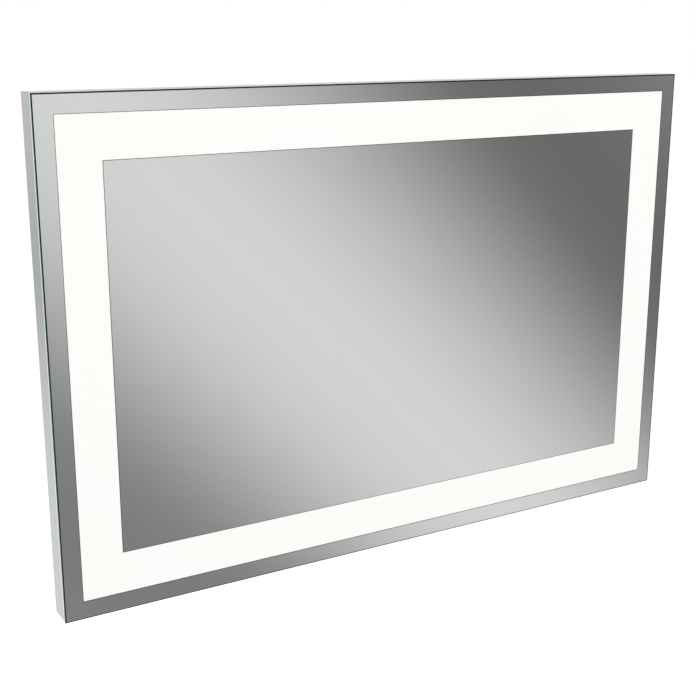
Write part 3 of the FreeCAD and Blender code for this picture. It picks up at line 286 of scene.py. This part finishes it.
def extruded(name, light, dark, run, rough, line=5.0, mitred=False):
    """Aluminium that was pressed through a die, which draws lines along its run.

    The lines are noise stretched to 500 mm along the run; across it they are `line` mm apart, with finer
    ones down to an eighth of that. Mitred bars are the mirror's frame: a dark hairline marks each joint,
    and the corner next to the glass gets painted light, pale mint with a faint glow.
    """
    made = finish(name)
    coordinates = add(made, "TexCoord")
    place = coordinates.outputs["Object"]
    density = [cells(500) if axis == run else cells(line) for axis in "xyz"]
    drawn = add(made, "Mapping", {}, {"Vector": place, "Scale": density})
    lines = add(made, "TexNoise", {}, {"Vector": drawn, "Scale": 1.0, "Detail": 3.0, "Roughness": 0.55})
    colour = add(made, "ValToRGB", {"stops": [(0.25, linear(dark)), (0.75, linear(light))]}, {0: lines})
    sheen = add(made, "MapRange", {}, {
        "Value": lines, "To Min": rough - 0.05, "To Max": rough + 0.05})
    metallic, glint = 1.0, 0.0
    if mitred:
        spot = add(made, "SeparateXYZ", {}, {0: place})
        side = add(made, "Math", {"operation": "ABSOLUTE"}, {0: spot.outputs["X"]})
        low = add(made, "Math", {"operation": "SUBTRACT"}, {0: spot.outputs["Z"], 1: CENTRE_Z})
        height = add(made, "Math", {"operation": "ABSOLUTE"}, {0: low})
        # on a mitre, a point is as far in from the side as it is from the top or the bottom
        skew = add(made, "Math", {"operation": "SUBTRACT"}, {0: side, 1: height})
        joint = add(made, "Math", {"operation": "COMPARE"}, {
            0: skew, 1: (WIDTH - HEIGHT) / 2, 2: MITRE_LINE / 2})
        colour = add(made, "Mix", {"data_type": "RGBA"}, {
            0: joint, 6: colour, 7: linear("#3B3D3E")}).outputs[2]
        # right behind the glass, over the first LIT_CORNER of its depth, the outer wall is painted pale
        # mint with a faint glow: painted light for the green light that leaves the glass's edge; its face
        # towards the glass stays plain metal
        front = add(made, "Math", {"operation": "LESS_THAN"}, {
            0: spot.outputs["Y"], 1: GLASS_FACE + GLASS + LIT_CORNER})
        facing = add(made, "SeparateXYZ", {}, {0: coordinates.outputs["Normal"]}).outputs["Y"]
        outside = add(made, "Math", {"operation": "GREATER_THAN"}, {0: facing, 1: -0.9})
        corner = add(made, "Math", {"operation": "MULTIPLY"}, {0: front, 1: outside})
        metallic = add(made, "Math", {"operation": "SUBTRACT"}, {0: 1.0, 1: corner})
        colour = add(made, "Mix", {"data_type": "RGBA"}, {
            0: corner, 6: colour, 7: linear("#E4F5ED")}).outputs[2]
        glint = add(made, "Math", {"operation": "MULTIPLY"}, {0: corner, 1: 0.35})
        made.cycles.emission_sampling = "NONE"
    draw = add(made, "Bump", {}, {"Height": lines, "Strength": 0.25, "Distance": 0.00003})
    metal = add(made, "BsdfPrincipled", {}, {
        "Base Color": colour, "Metallic": metallic, "Roughness": sheen, "Normal": draw,
        "Emission Color": linear("#E4F5ED"), "Emission Strength": glint})
    return made, metal


# Satin anodised aluminium: an even silver grey with soft, faint stripes along each bar.
coat(*extruded("satin anodised aluminium, level bars", "#D6D8D7", "#CBCDCC", "x", 0.30, mitred=True),
     "frame_top", "frame_bottom")
coat(*extruded("satin anodised aluminium, upright bars", "#D6D8D7", "#CBCDCC", "z", 0.30, mitred=True),
     "frame_left", "frame_right")


# ---- Corner keys and their grub screws --------------------------------------------------------------
# An L-shaped key of cast zinc is pushed into the channels of two bars, and two grub screws of black
# oxide steel jam it there.

def metal_part(name, light, dark, rough, patch):
    """Small metal parts that were cast or plated in a barrel: a mottle with patches of `patch` mm."""
    made = finish(name)
    place = add(made, "TexCoord").outputs["Object"]
    mottle = add(made, "TexNoise", {}, {"Vector": place, "Scale": cells(patch), "Detail": 4.0})
    colour = add(made, "ValToRGB", {"stops": [(0.3, linear(dark)), (0.7, linear(light))]}, {0: mottle})
    sheen = add(made, "MapRange", {}, {
        "Value": mottle, "To Min": rough - 0.06, "To Max": rough + 0.08})
    tumbled = add(made, "Bump", {}, {"Height": mottle, "Strength": 0.2, "Distance": 0.00004})
    metal = add(made, "BsdfPrincipled", {}, {
        "Base Color": colour, "Metallic": 1.0, "Roughness": sheen, "Normal": tumbled})
    return made, metal


# Pressure-cast zinc, dull and slightly pebbled from tumbling; black oxide steel, oily and nearly black.
coat(*metal_part("pressure-cast zinc", "#A9ACAE", "#8C8F92", 0.48, 3.0), "corner_keys")
coat(*metal_part("black oxide steel", "#2E2F31", "#1C1D1E", 0.38, 1.5), "key_screws")


# ---- Bonding tape, safety film and demister ---------------------------------------------------------
# Black closed-cell foam tape holds the glass to the flange. A film on the glass keeps splinters together,
# and a printed heating film on that keeps the middle of the mirror clear.

# Polyethylene foam: charcoal, with cells about 0.5 mm wide cut open on its surface.
foam = finish("black closed-cell foam")
place = add(foam, "TexCoord").outputs["Object"]
bubbles = add(foam, "TexVoronoi", {}, {"Vector": place, "Scale": cells(0.5)})
colour = add(foam, "ValToRGB", {"stops": [(0.1, linear("#1A1A1C")), (0.7, linear("#38383B"))]}, {0: bubbles})
opened = add(foam, "Bump", {}, {"Height": bubbles, "Strength": 0.5, "Distance": 0.0001})
rubbery = add(foam, "BsdfPrincipled", {}, {"Base Color": colour, "Roughness": 0.85, "Normal": opened})
coat(foam, rubbery, "bonding_tape")

# Vinyl safety film: matt grey, embossed with a fine linen grain, with a few soft blisters of air.
film = finish("matt grey vinyl film")
place = add(film, "TexCoord").outputs["Object"]
linen = add(film, "TexNoise", {}, {"Vector": place, "Scale": cells(0.7), "Detail": 2.0})
blisters = add(film, "TexNoise", {}, {"Vector": place, "Scale": cells(35)})
colour = add(film, "ValToRGB", {"stops": [
    (0.35, linear("#B3B8BC")), (0.65, linear("#BFC4C8"))]}, {0: blisters})
emboss = add(film, "Bump", {}, {"Height": linen, "Strength": 0.3, "Distance": 0.00005})
vinyl = add(film, "BsdfPrincipled", {}, {"Base Color": colour, "Roughness": 0.55, "Normal": emboss})
coat(film, vinyl, "safety_film")

# Demister film: buff polyester over a printed silver track, 4 mm wide at every 14 mm.
TRACK_PITCH, TRACK_WIDTH = 0.014, 0.004
heater = finish("laminated heating film")
place = add(heater, "TexCoord").outputs["Object"]
spot = add(heater, "SeparateXYZ", {}, {0: place})
lanes = add(heater, "Math", {"operation": "DIVIDE"}, {0: spot.outputs["Z"], 1: TRACK_PITCH})
lane = add(heater, "Math", {"operation": "FRACT"}, {0: lanes})
track = add(heater, "Math", {"operation": "LESS_THAN"}, {0: lane, 1: TRACK_WIDTH / TRACK_PITCH})
cloudy = add(heater, "TexNoise", {}, {"Vector": place, "Scale": cells(18), "Detail": 3.0})
buff = add(heater, "ValToRGB", {"stops": [
    (0.3, linear("#D2C49C")), (0.7, linear("#DDD0AC"))]}, {0: cloudy})
colour = add(heater, "Mix", {"data_type": "RGBA"}, {0: track, 6: buff, 7: linear("#B7B6B0")})
raised = add(heater, "Bump", {}, {"Height": track, "Strength": 0.4, "Distance": 0.00005})
polyester = add(heater, "BsdfPrincipled", {}, {
    "Base Color": colour.outputs[2], "Roughness": 0.4, "Normal": raised})
coat(heater, polyester, "demister_pad")


# ---- Diffusers --------------------------------------------------------------------------------------
# Opal acrylic strips, butted at the corners, lie on the back of the glass behind the band. They spread
# the light of the lamps until no single one shows.

# Extruded opal acrylic: milk white with a soft gloss, and a painted glow for the light that passes through
# it.
opal = finish("opal acrylic sheet")
place = add(opal, "TexCoord").outputs["Object"]
milk = add(opal, "TexNoise", {}, {"Vector": place, "Scale": cells(60), "Detail": 1.0})
colour = add(opal, "ValToRGB", {"stops": [(0.3, linear("#F1F2F0")), (0.7, linear("#F8F8F6"))]}, {0: milk})
acrylic = add(opal, "BsdfPrincipled", {}, {
    "Base Color": colour, "Roughness": 0.3, "IOR": 1.49, "Subsurface Weight": 0.2,
    "Subsurface Radius": (0.002, 0.002, 0.002), "Emission Color": linear("#FFFFF8"),
    "Emission Strength": 0.25})
coat(opal, acrylic, "diffuser_top", "diffuser_bottom", "diffuser_left", "diffuser_right")
opal.cycles.emission_sampling = "NONE"


# ---- Lamp boards and lamps --------------------------------------------------------------------------
# Narrow circuit boards are stuck to the back plate behind the band, with a socket at each end. The white
# lamps soldered on them are cups of yellow phosphor gel.

# Glass-fibre board under white solder mask: white on its faces, tan where the board was cut.
board = finish("glass-fibre board under white solder mask")
where = add(board, "TexCoord")
facing = add(board, "SeparateXYZ", {}, {0: where.outputs["Normal"]}).outputs["Y"]
square_on = add(board, "Math", {"operation": "ABSOLUTE"}, {0: facing})
weave = add(board, "TexVoronoi", {"distance": "CHEBYCHEV"}, {
    "Vector": where.outputs["Object"], "Scale": cells(0.6), "Randomness": 0.15})
colour = add(board, "ValToRGB", {"stops": [
    (0.4, linear("#B7A778")), (0.6, linear("#EEF0EE"))]}, {0: square_on})
threads = add(board, "Bump", {}, {"Height": weave, "Strength": 0.15, "Distance": 0.00002})
mask = add(board, "BsdfPrincipled", {}, {"Base Color": colour, "Roughness": 0.42, "Normal": threads})
coat(board, mask, "led_board_top", "led_board_bottom", "led_board_left", "led_board_right")

# Phosphor gel: egg yellow where it faces the glass, in a white cup; it shines faintly.
lamp = finish("phosphor gel in a white cup")
where = add(lamp, "TexCoord")
facing = add(lamp, "SeparateXYZ", {}, {0: where.outputs["Normal"]}).outputs["Y"]
speck = add(lamp, "TexNoise", {}, {"Vector": where.outputs["Object"], "Scale": cells(0.4)})
yolk = add(lamp, "ValToRGB", {"stops": [(0.3, linear("#F2D468")), (0.7, linear("#F8E08A"))]}, {0: speck})
gel = add(lamp, "Math", {"operation": "LESS_THAN"}, {0: facing, 1: -0.9})
colour = add(lamp, "Mix", {"data_type": "RGBA"}, {0: gel, 6: linear("#F4F4F2"), 7: yolk})
shine = add(lamp, "Math", {"operation": "MULTIPLY"}, {0: gel, 1: 0.3})
cup = add(lamp, "BsdfPrincipled", {}, {
    "Base Color": colour.outputs[2], "Roughness": 0.25, "IOR": 1.45,
    "Emission Color": linear("#FFF6DC"), "Emission Strength": shine})
coat(lamp, cup, "led_chips")
lamp.cycles.emission_sampling = "NONE"


# ---- Driver, supply box, terminal block and sensor --------------------------------------------------
# Injection mouldings: the driver's ribbed case, the box and lid that the supply comes into, the terminal
# block in it, the saddles over the leads, and the hand sensor that looks down through the frame.

def moulded(name, light, dark, spark, rough):
    """A moulding from a spark-eroded tool: a fine pebble of `spark` mm, and a faint drift in tone."""
    made = finish(name)
    place = add(made, "TexCoord").outputs["Object"]
    pebble = add(made, "TexNoise", {}, {"Vector": place, "Scale": cells(spark), "Detail": 2.0})
    flow = add(made, "TexNoise", {}, {"Vector": place, "Scale": cells(25), "Detail": 2.0})
    colour = add(made, "ValToRGB", {"stops": [(0.3, linear(dark)), (0.7, linear(light))]}, {0: flow})
    sheen = add(made, "MapRange", {}, {
        "Value": pebble, "To Min": rough - 0.06, "To Max": rough + 0.06})
    sparked = add(made, "Bump", {}, {"Height": pebble, "Strength": 0.25, "Distance": 0.00005})
    plastic = add(made, "BsdfPrincipled", {}, {
        "Base Color": colour, "Roughness": sheen, "IOR": 1.54, "Normal": sparked})
    return made, plastic


# Polycarbonate and nylon: chalky greys and whites with a soft, low sheen; the sensor's case is black.
coat(*moulded("pale polycarbonate case", "#EDEFED", "#E4E6E4", 0.8, 0.5), "led_driver")
coat(*moulded("grey polycarbonate moulding", "#D2D4D4", "#C6C9C9", 0.8, 0.5), "terminal_box", "terminal_lid")
coat(*moulded("white nylon moulding", "#ECECE7", "#E2E2DC", 1.2, 0.36), "terminal_block", "lead_clips")
coat(*moulded("black nylon moulding", "#18181A", "#101012", 0.8, 0.45), "motion_sensor")

# The sensor looks out through a polished window that is nearly black and lets infrared pass.
window = finish("dark polished sensor window")
place = add(window, "TexCoord").outputs["Object"]
depth = add(window, "TexNoise", {}, {"Vector": place, "Scale": cells(4)})
colour = add(window, "ValToRGB", {"stops": [(0.3, linear("#120A10")), (0.7, linear("#1C1018"))]}, {0: depth})
pane = add(window, "BsdfPrincipled", {}, {"Base Color": colour, "Roughness": 0.06, "IOR": 1.58})
coat(window, pane, "sensor_lens")


# ---- Earth stud, nut and tag, and the leads ---------------------------------------------------------
# The earth lead ends in a tinned tag under a brass nut on a plated stud. All leads are copper strand in
# PVC, and the earth lead is green with a yellow stripe.

coat(*metal_part("turned brass", "#D9B871", "#C7A25A", 0.3, 1.5), "earth_nut")
coat(*metal_part("tinned copper", "#D4D0C8", "#BDB8AE", 0.34, 2.0), "earth_tag")


def sheathed(name, colour, stripe):
    """PVC drawn over copper: waxy, with a faint ripple, and a stripe on the side that faces the wall."""
    made = finish(name)
    where = add(made, "TexCoord")
    facing = add(made, "SeparateXYZ", {}, {0: where.outputs["Normal"]}).outputs["Y"]
    tone = add(made, "ValToRGB", {"stops": [(0.68, linear(colour)), (0.7, linear(stripe))]}, {0: facing})
    ripple = add(made, "TexNoise", {}, {"Vector": where.outputs["Object"], "Scale": cells(2.5)})
    sheen = add(made, "MapRange", {}, {"Value": ripple, "To Min": 0.36, "To Max": 0.5})
    drawn = add(made, "Bump", {}, {"Height": ripple, "Strength": 0.2, "Distance": 0.00008})
    pvc = add(made, "BsdfPrincipled", {}, {
        "Base Color": tone, "Roughness": sheen, "IOR": 1.53, "Normal": drawn})
    return made, pvc


coat(*sheathed("white PVC sheath", "#E6E6E1", "#E1E1DC"),
     "supply_lead", "feed_lead", "demister_lead", "link_leads")
coat(*sheathed("black PVC sheath", "#1B1B1D", "#202022"), "sensor_lead")
coat(*sheathed("green and yellow PVC sheath", "#4E8A2C", "#E3CB3C"), "earth_lead")


# ---- Back plate -------------------------------------------------------------------------------------
# 1 mm steel, hot-dip zinc coated. Two swages are pressed in it against rattling, vents are punched above
# and below the driver, and it lies on the frame's ledge.

# Zinc coating: crystals of 7 to 12 mm that each turn the light a little differently, with fine scuffs
# from handling, drawn coarser than life so that they show.
sheet = finish("hot-dip zinc-coated steel sheet")
place = add(sheet, "TexCoord").outputs["Object"]
edge_noise = add(sheet, "TexNoise", {}, {"Vector": place, "Scale": cells(5), "Detail": 2.0})
ragged = add(sheet, "Mix", {"data_type": "RGBA", "blend_type": "LINEAR_LIGHT"}, {
    0: 0.004, 6: place, 7: edge_noise.outputs["Color"]})
crystals = add(sheet, "TexVoronoi", {}, {"Vector": ragged.outputs[2], "Scale": cells(9)})
lean = add(sheet, "SeparateColor", {}, {0: crystals.outputs["Color"]})
colour = add(sheet, "ValToRGB", {"stops": [
    (0.0, linear("#BEC3C6")), (0.5, linear("#C5C9CC")), (1.0, linear("#CBCFD1"))]}, {0: lean})
scuffed = add(sheet, "Mapping", {}, {
    "Vector": place, "Rotation": (0, 0.5, 0), "Scale": (cells(60), cells(60), cells(1.2))})
scuffs = add(sheet, "TexNoise", {}, {"Vector": scuffed, "Scale": 1.0, "Detail": 3.0})
base = add(sheet, "MapRange", {}, {
    "Value": lean.outputs[1], "To Min": 0.34, "To Max": 0.46})
worn = add(sheet, "MapRange", {}, {
    "Value": scuffs, "From Min": 0.35, "From Max": 0.65, "To Min": -0.04, "To Max": 0.06})
sheen = add(sheet, "Math", {"operation": "ADD"}, {0: base, 1: worn})
dimple = add(sheet, "Bump", {}, {"Height": scuffs, "Strength": 0.1, "Distance": 0.00003})
zinc = add(sheet, "BsdfPrincipled", {}, {
    "Base Color": colour, "Metallic": 1.0, "Roughness": sheen, "Normal": dimple})
coat(sheet, zinc, "back_plate")


# ---- Screws -----------------------------------------------------------------------------------------
# Bright zinc-plated steel screws with a crowned head and a cross recess. They cut their own thread: the
# plate's in the frame's channels, and the driver's, the lid's and the bumpers' in the plate's holes. Only
# the driver's go in from the front, so that their points stick out of the back.

HEAD, HEAD_RISE, HEAD_EDGE = 0.0032, 0.002, 0.0009
SHANK, THREAD, THREAD_PITCH, POINT, TIP = 0.00098, 0.00027, 0.0011, 0.0022, 0.0001
WING, WING_REACH, WING_DEPTH, WING_WALL = 0.00045, 0.0017, 0.0013, 0.0002
SCREW_COLUMNS = 32


def screw(x, z, seat, length, way):
    """A self-cutting screw along y, as one closed shell. Its head is towards the wall where `way` is 1.

    Where `way` is -1 it is half turned about a line along x, so that its head is towards the glass.

    Crown: height = edge + (rise - edge) * (1 - (r / R)^4). The cross recess is taken from it where a point
    is within half a wing's width of either diameter, shallower towards the wings' ends; its walls slope
    over WING_WALL. Below the head, radius = core + thread * tooth(depth / pitch - turn), which tapers over
    the last POINT of the length. Its rings are a quarter of the pitch apart, and the last one is at least
    TIP before the end.
    """
    turn = np.arange(SCREW_COLUMNS) / SCREW_COLUMNS
    cos, sin = np.cos(2 * math.pi * turn), np.sin(2 * math.pi * turn)
    # close rings over the recess, and then wider ones out to the side of the head
    r = np.concatenate([np.linspace(0, WING_REACH * 1.2, 10), np.linspace(0.68, 0.97, 5) * HEAD])[:, None]
    crown = HEAD_EDGE + (HEAD_RISE - HEAD_EDGE) * (1 - (r / HEAD) ** 4)
    near, far = np.minimum(abs(r * cos), abs(r * sin)), np.maximum(abs(r * cos), abs(r * sin))
    wing = np.clip((WING - near) / WING_WALL + 0.5, 0, 1)
    wing = wing * np.clip((WING_REACH - far) / WING_WALL + 0.5, 0, 1)
    top = crown - wing * WING_DEPTH * (1 - 0.6 * far / WING_REACH)
    # the side of the head runs straight down from the crown, and its lower corner is cut off
    side_r = np.array([1, 1, 0.96])[:, None] * HEAD
    side = np.array([HEAD_EDGE * 0.9, HEAD_EDGE * 0.15, 0])[:, None]
    step = THREAD_PITCH / 4
    down = np.arange(0, length - TIP, step)[:, None]
    tooth = 1 - 2 * abs((down / THREAD_PITCH - turn) % 1 - 0.5)
    taper = np.clip((length - down) / POINT, 0.08, 1) ** 0.6
    shank_r = (SHANK + THREAD * tooth) * taper
    radius = np.vstack([r * np.ones_like(cos), side_r * np.ones_like(cos), shank_r, 0 * cos[None]])
    rise = np.vstack([top, side * np.ones_like(cos), -down * np.ones_like(cos), -length + 0 * cos[None]])
    rise[0] = rise[0, 0]
    return np.stack([x + radius * cos, seat + way * rise, z + way * radius * sin], -1)


# Places in x and z. The plate's screws are on a line EDGE_LINE in from the mirror's edge: four along the
# top and the bottom, and two up each side. The others are in pairs, given by their middle and half span.
EDGE_LINE = 0.0085
row_x = np.array([-0.45, -0.15, 0.15, 0.45]) * (WIDTH - 2 * EDGE_LINE)
row_z = np.array([-0.25, 0.25]) * (HEIGHT - 2 * EDGE_LINE)
plate_line = [(x, CENTRE_Z + up * (HEIGHT / 2 - EDGE_LINE)) for up in (-1, 1) for x in row_x]
plate_line += [(side * (WIDTH / 2 - EDGE_LINE), CENTRE_Z + z) for side in (-1, 1) for z in row_z]
driver_tabs, lid_rim, bumper_feet = (
    [(middle - half_span, z), (middle + half_span, z)]
    for middle, half_span, z in ((-0.230, 0.094, -0.120), (0, 0.0455, -0.220), (0, 0.390, -0.420)))

# Bright zinc plate: a clean bluish silver, with a slight mottle.
plated, plate_metal = metal_part("bright zinc-plated steel", "#D7DBDF", "#C3C8CD", 0.24, 1.5)
coat(plated, plate_metal, "plate_screws", "driver_screws", "lid_screws", "bumper_screws", "earth_stud")

# Where each kind's heads sit, in y, and how long its shanks are.
PLATE_BACK, TAB_FRONT, LID_BACK, BUMPER_SEAT = -0.012, -0.0145, -0.0087, -0.009
for stands_for, spots, seat, length, way in (
        ("plate_screws", plate_line, PLATE_BACK, 0.0075, 1),
        ("driver_screws", driver_tabs, TAB_FRONT, 0.0045, -1),
        ("lid_screws", lid_rim, LID_BACK, 0.0063, 1),
        ("bumper_screws", bumper_feet, BUMPER_SEAT, 0.006, 1)):
    made = skin(stands_for + "_cut", [screw(x, z, seat, length, way) for x, z in spots])
    made.data.materials.append(plated)
    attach(made, "mirror")
    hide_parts(stands_for)


# ---- Hanger rail, wall rail and rivets --------------------------------------------------------------
# A Z-shaped mill-finish extrusion is riveted to the back plate. Its lip hooks down behind the lip of the
# wall rail, which is screwed to the wall through slots. The blind rivets have a low dome with the broken
# mandrel in the middle.

# Mill finish: as it leaves the die, brighter and more streaky than the anodised frame.
mill, mill_metal = extruded("mill-finish aluminium", "#D2D4D6", "#BBBEC1", "x", 0.3, line=3.0)
coat(mill, mill_metal, "hanger_rail", "wall_rail")


def turned(x, z, profile, columns=40):
    """Turn a profile, points of (radius, y), about the line along y through x, z."""
    radius, y = (part[:, None] for part in np.array(profile).T)
    angle = np.arange(columns) * 2 * math.pi / columns
    return np.stack([x + radius * np.cos(angle), y + 0 * angle, z + radius * np.sin(angle)], -1)


# A rivet, from the middle of its dome to the end that swelled inside the plate. The dome is a quarter of
# an ellipse: y = foot + rise * sqrt(1 - t^2), with its radius from the mandrel's to the dome's.
RIVET_ROW_Z, RIVET_PITCH = 0.043, 0.1472
RAIL_FOOT_BACK, PLATE_FRONT, RIVET_END = -0.010, -0.013, -0.016
DOME, DOME_RISE, MANDREL, RIVET_SHANK = 0.0038, 0.0013, 0.0011, 0.002
mandrel_top, well = RAIL_FOOT_BACK + 0.0005, RAIL_FOOT_BACK + 0.0002
broken = [(0, mandrel_top), (MANDREL * 0.7, mandrel_top), (MANDREL * 0.8, well), (MANDREL * 0.95, well)]
dome = [(MANDREL + (DOME - MANDREL) * t, RAIL_FOOT_BACK + DOME_RISE * math.sqrt(1 - t * t))
        for t in np.linspace(0, 1, 7)]
swollen = [(RIVET_SHANK, RAIL_FOOT_BACK), (RIVET_SHANK, PLATE_FRONT), (0.0026, -0.0134), (0.0027, -0.0145),
           (0.0022, -0.0157), (0.0012, RIVET_END), (0, RIVET_END)]
rivets = skin("hanger_rivets_set", [
    turned(x, RIVET_ROW_Z, broken + dome + swollen) for x in np.arange(-2, 3) * RIVET_PITCH])
rivets.data.materials.append(coat(
    *metal_part("drawn rivet aluminium", "#C9CCCE", "#B4B7BA", 0.28, 1.5), "hanger_rivets"))
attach(rivets, "mirror")
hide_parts("hanger_rivets")


# ---- Bumpers and cable grommet ----------------------------------------------------------------------
# Moulded rubber. The bumpers are screwed to the plate's lower corners and hold the mirror off the wall;
# the grommet snaps into the lid, and the supply cable comes in through it.

# Black rubber: matt, slightly dusty on its raised grain.
rubber = finish("moulded black rubber")
place = add(rubber, "TexCoord").outputs["Object"]
grain = add(rubber, "TexNoise", {}, {"Vector": place, "Scale": cells(0.6), "Detail": 3.0})
colour = add(rubber, "ValToRGB", {"stops": [(0.3, linear("#17171A")), (0.75, linear("#2C2C2F"))]}, {0: grain})
pebbled = add(rubber, "Bump", {}, {"Height": grain, "Strength": 0.35, "Distance": 0.00008})
soft = add(rubber, "BsdfPrincipled", {}, {"Base Color": colour, "Roughness": 0.72, "Normal": pebbled})
coat(rubber, soft, "wall_bumpers", "cable_grommet")

# A bumper, from its bore out over the plate, back to the wall, and down the well for its screw's head.
BORE, WELL = 0.0014, 0.0036
bumper = [(BORE, PLATE_BACK), (0.0106, PLATE_BACK), (0.011, -0.0117), (0.011, -0.0112), (0.0104, -0.0090),
          (0.00905, -0.0016), (0.0087, -0.0006), (0.0082, 0), (0.0050, 0), (0.0042, -0.0003), (WELL, -0.0012),
          (WELL, BUMPER_SEAT), (BORE, BUMPER_SEAT)]
bumpers = skin("wall_bumpers_moulded", [turned(x, z, bumper) for x, z in bumper_feet])
bumpers.data.materials.append(rubber)
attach(bumpers, "mirror")
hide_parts("wall_bumpers")


# ---- Studio -----------------------------------------------------------------------------------------
# A pale floor, as far below the mirror as in a room, and soft lamps. A graded card in front of the
# mirror gives it something to show: a broad, soft band of light that falls to the right.

def plane(name, x, y, z):
    """A flat sheet with four corners; x, y and z are each a pair, or one of them a single number."""
    corners = np.array(np.meshgrid(x, y, z)).reshape(3, -1).T[[0, 1, 3, 2]]
    mesh = bpy.data.meshes.new(name)
    mesh.from_pydata(corners, [], [(0, 1, 2, 3)])
    made = bpy.data.objects.new(name, mesh)
    bpy.context.scene.collection.objects.link(made)
    return made


# The floor's glow only shows to the camera, and takes the floor up to the white round it. Gloss doesn't see
# the floor: it sees the world's room.
FLOOR_Z = -1.75
floor = plane("studio_floor", (-30, 30), (-30, 30), [FLOOR_Z])
floor.visible_glossy = False
pale = finish("pale studio floor")
ray = add(pale, "LightPath")
matt = add(pale, "BsdfDiffuse", {}, {"Color": linear("#EDEDED")})
lift = add(pale, "Emission", {}, {"Strength": add(pale, "Math", {"operation": "MULTIPLY"}, {
    0: ray.outputs["Is Camera Ray"], 1: 0.46})})
add(pale, "OutputMaterial", {}, {"Surface": add(pale, "AddShader", {}, {0: matt, 1: lift})})
floor.data.materials.append(pale)

# The card's grade runs at 45 degrees. Its stops are places along it, in metres on the pane as the portrait
# camera sees them, and the grey that shows there. A point on the card is seen in the pane where the line to
# the camera's mirror image crosses the glass, so it is drawn CARD_SPREAD times as wide on the card. The
# silver gives back SILVER_SHARE of what falls on it, and the card is brighter by as much.
CAMERA = (-0.8079, -1.3004, 0.1927)
SILVER_SHARE = 0.93
CARD_Y, CARD_LEVEL = -4.0, 1.0 / SILVER_SHARE
CARD_SPREAD = (2 * GLASS_FACE - CAMERA[1] - CARD_Y) / (GLASS_FACE - CAMERA[1])
REACH = 0.62
STOPS = [(-REACH, 0.228), (-0.352, 0.237), (-0.168, 0.586), (0.021, 0.568), (0.259, 0.166), (REACH, 0.228)]
card = plane("studio_card", (-20, 20), [CARD_Y], (-12, 12))
card.visible_camera = card.visible_diffuse = card.visible_shadow = card.visible_transmission = False
graded = finish("graded studio card")
place = add(graded, "TexCoord").outputs["Object"]
slope = 1 / (CARD_SPREAD * math.sqrt(2))
level = add(graded, "VectorMath", {"operation": "DOT_PRODUCT"}, {0: place, 1: (slope, 0, slope)})
middle = ((CAMERA[0] + CAMERA[2]) * (1 - 1 / CARD_SPREAD) - CENTRE_Z) / math.sqrt(2)
centred = add(graded, "Math", {"operation": "ADD"}, {0: level.outputs["Value"], 1: middle})
# past both ends the grade starts again, so that other views have something to show as well
again = add(graded, "Math", {"operation": "WRAP"}, {0: centred, 1: REACH, 2: -REACH})
along = add(graded, "MapRange", {}, {"Value": again, "From Min": -REACH, "From Max": REACH})
grade = add(graded, "ValToRGB", {"stops": [
    ((at + REACH) / (2 * REACH), grey(value)) for at, value in STOPS]}, {0: along})
grade.color_ramp.interpolation = "CARDINAL"
add(graded, "OutputMaterial", {}, {"Surface": add(graded, "Emission", {}, {
    "Color": grade, "Strength": CARD_LEVEL})})
card.data.materials.append(graded)

# World: white behind the object, soft light all round, and for gloss a room that is lighter below and
# above than at eye level.
scene = bpy.context.scene
world = bpy.data.worlds.new("soft white studio")
scene.world = world
world.use_nodes = True
world.node_tree.nodes.clear()
ray = add(world, "LightPath")
up = add(world, "SeparateXYZ", {}, {0: add(world, "TexCoord").outputs["Generated"]}).outputs["Z"]
height = add(world, "MapRange", {}, {"Value": up, "From Min": -1.0, "From Max": 1.0})
room = add(world, "ValToRGB", {"stops": [
    (0.0, grey(0.94)), (0.28, grey(0.93)), (0.34, grey(0.9)), (0.365, grey(0.78)), (0.40, grey(0.48)),
    (0.44, grey(0.67)), (0.5, grey(0.83)), (0.62, grey(0.83)), (1.0, grey(0.98))]}, {0: height})
soft_light = add(world, "Background", {}, {"Color": grey(1.0), "Strength": 0.68})
shown = add(world, "Background", {}, {"Color": room, "Strength": 1.0})
white = add(world, "Background", {}, {"Color": grey(1.0), "Strength": 1.0})
bright = add(world, "Math", {"operation": "MAXIMUM"}, {
    0: ray.outputs["Is Glossy Ray"], 1: ray.outputs["Is Transmission Ray"]})
seen = add(world, "MixShader", {}, {0: bright, 1: soft_light, 2: shown})
add(world, "OutputWorld", {}, {"Surface": add(world, "MixShader", {}, {
    0: ray.outputs["Is Camera Ray"], 1: seen, 2: white})})

# Three square soft lamps, each turned to the middle of the mirror: place, watts, and width in metres.
for name, spot, watts, side in (
        ("soft_key", (-2.2, -2.6, 2.0), 38, 2.4), ("soft_fill", (2.6, -2.2, 0.8), 16, 2.4),
        ("soft_back", (0.8, 3.0, 1.6), 26, 2.6)):
    lamp = bpy.data.lights.new(name, "AREA")
    lamp.energy, lamp.shape, lamp.size = watts, "SQUARE", side
    stand = bpy.data.objects.new(name, lamp)
    aim = np.array([0, 0, CENTRE_Z]) - spot
    stand.location = spot
    stand.rotation_euler = (math.atan2(math.hypot(aim[0], aim[1]), -aim[2]), 0, math.atan2(-aim[0], aim[1]))
    stand.visible_glossy = False
    scene.collection.objects.link(stand)

# The portrait camera looks down by TILT and to the right by SWING, in degrees. Its focal length and the
# width of its sensor are in millimetres.
TILT, SWING = 15.106, 30.174
FOCAL_LENGTH, SENSOR = 62.93, 36
lens = bpy.data.cameras.new("portrait")
lens.lens, lens.sensor_width = FOCAL_LENGTH, SENSOR
camera = bpy.data.objects.new("portrait", lens)
camera.location = CAMERA
camera.rotation_euler = (math.radians(90 - TILT), 0, math.radians(-SWING))
scene.collection.objects.link(camera)
scene.camera = camera
scene.view_settings.view_transform = "Standard"
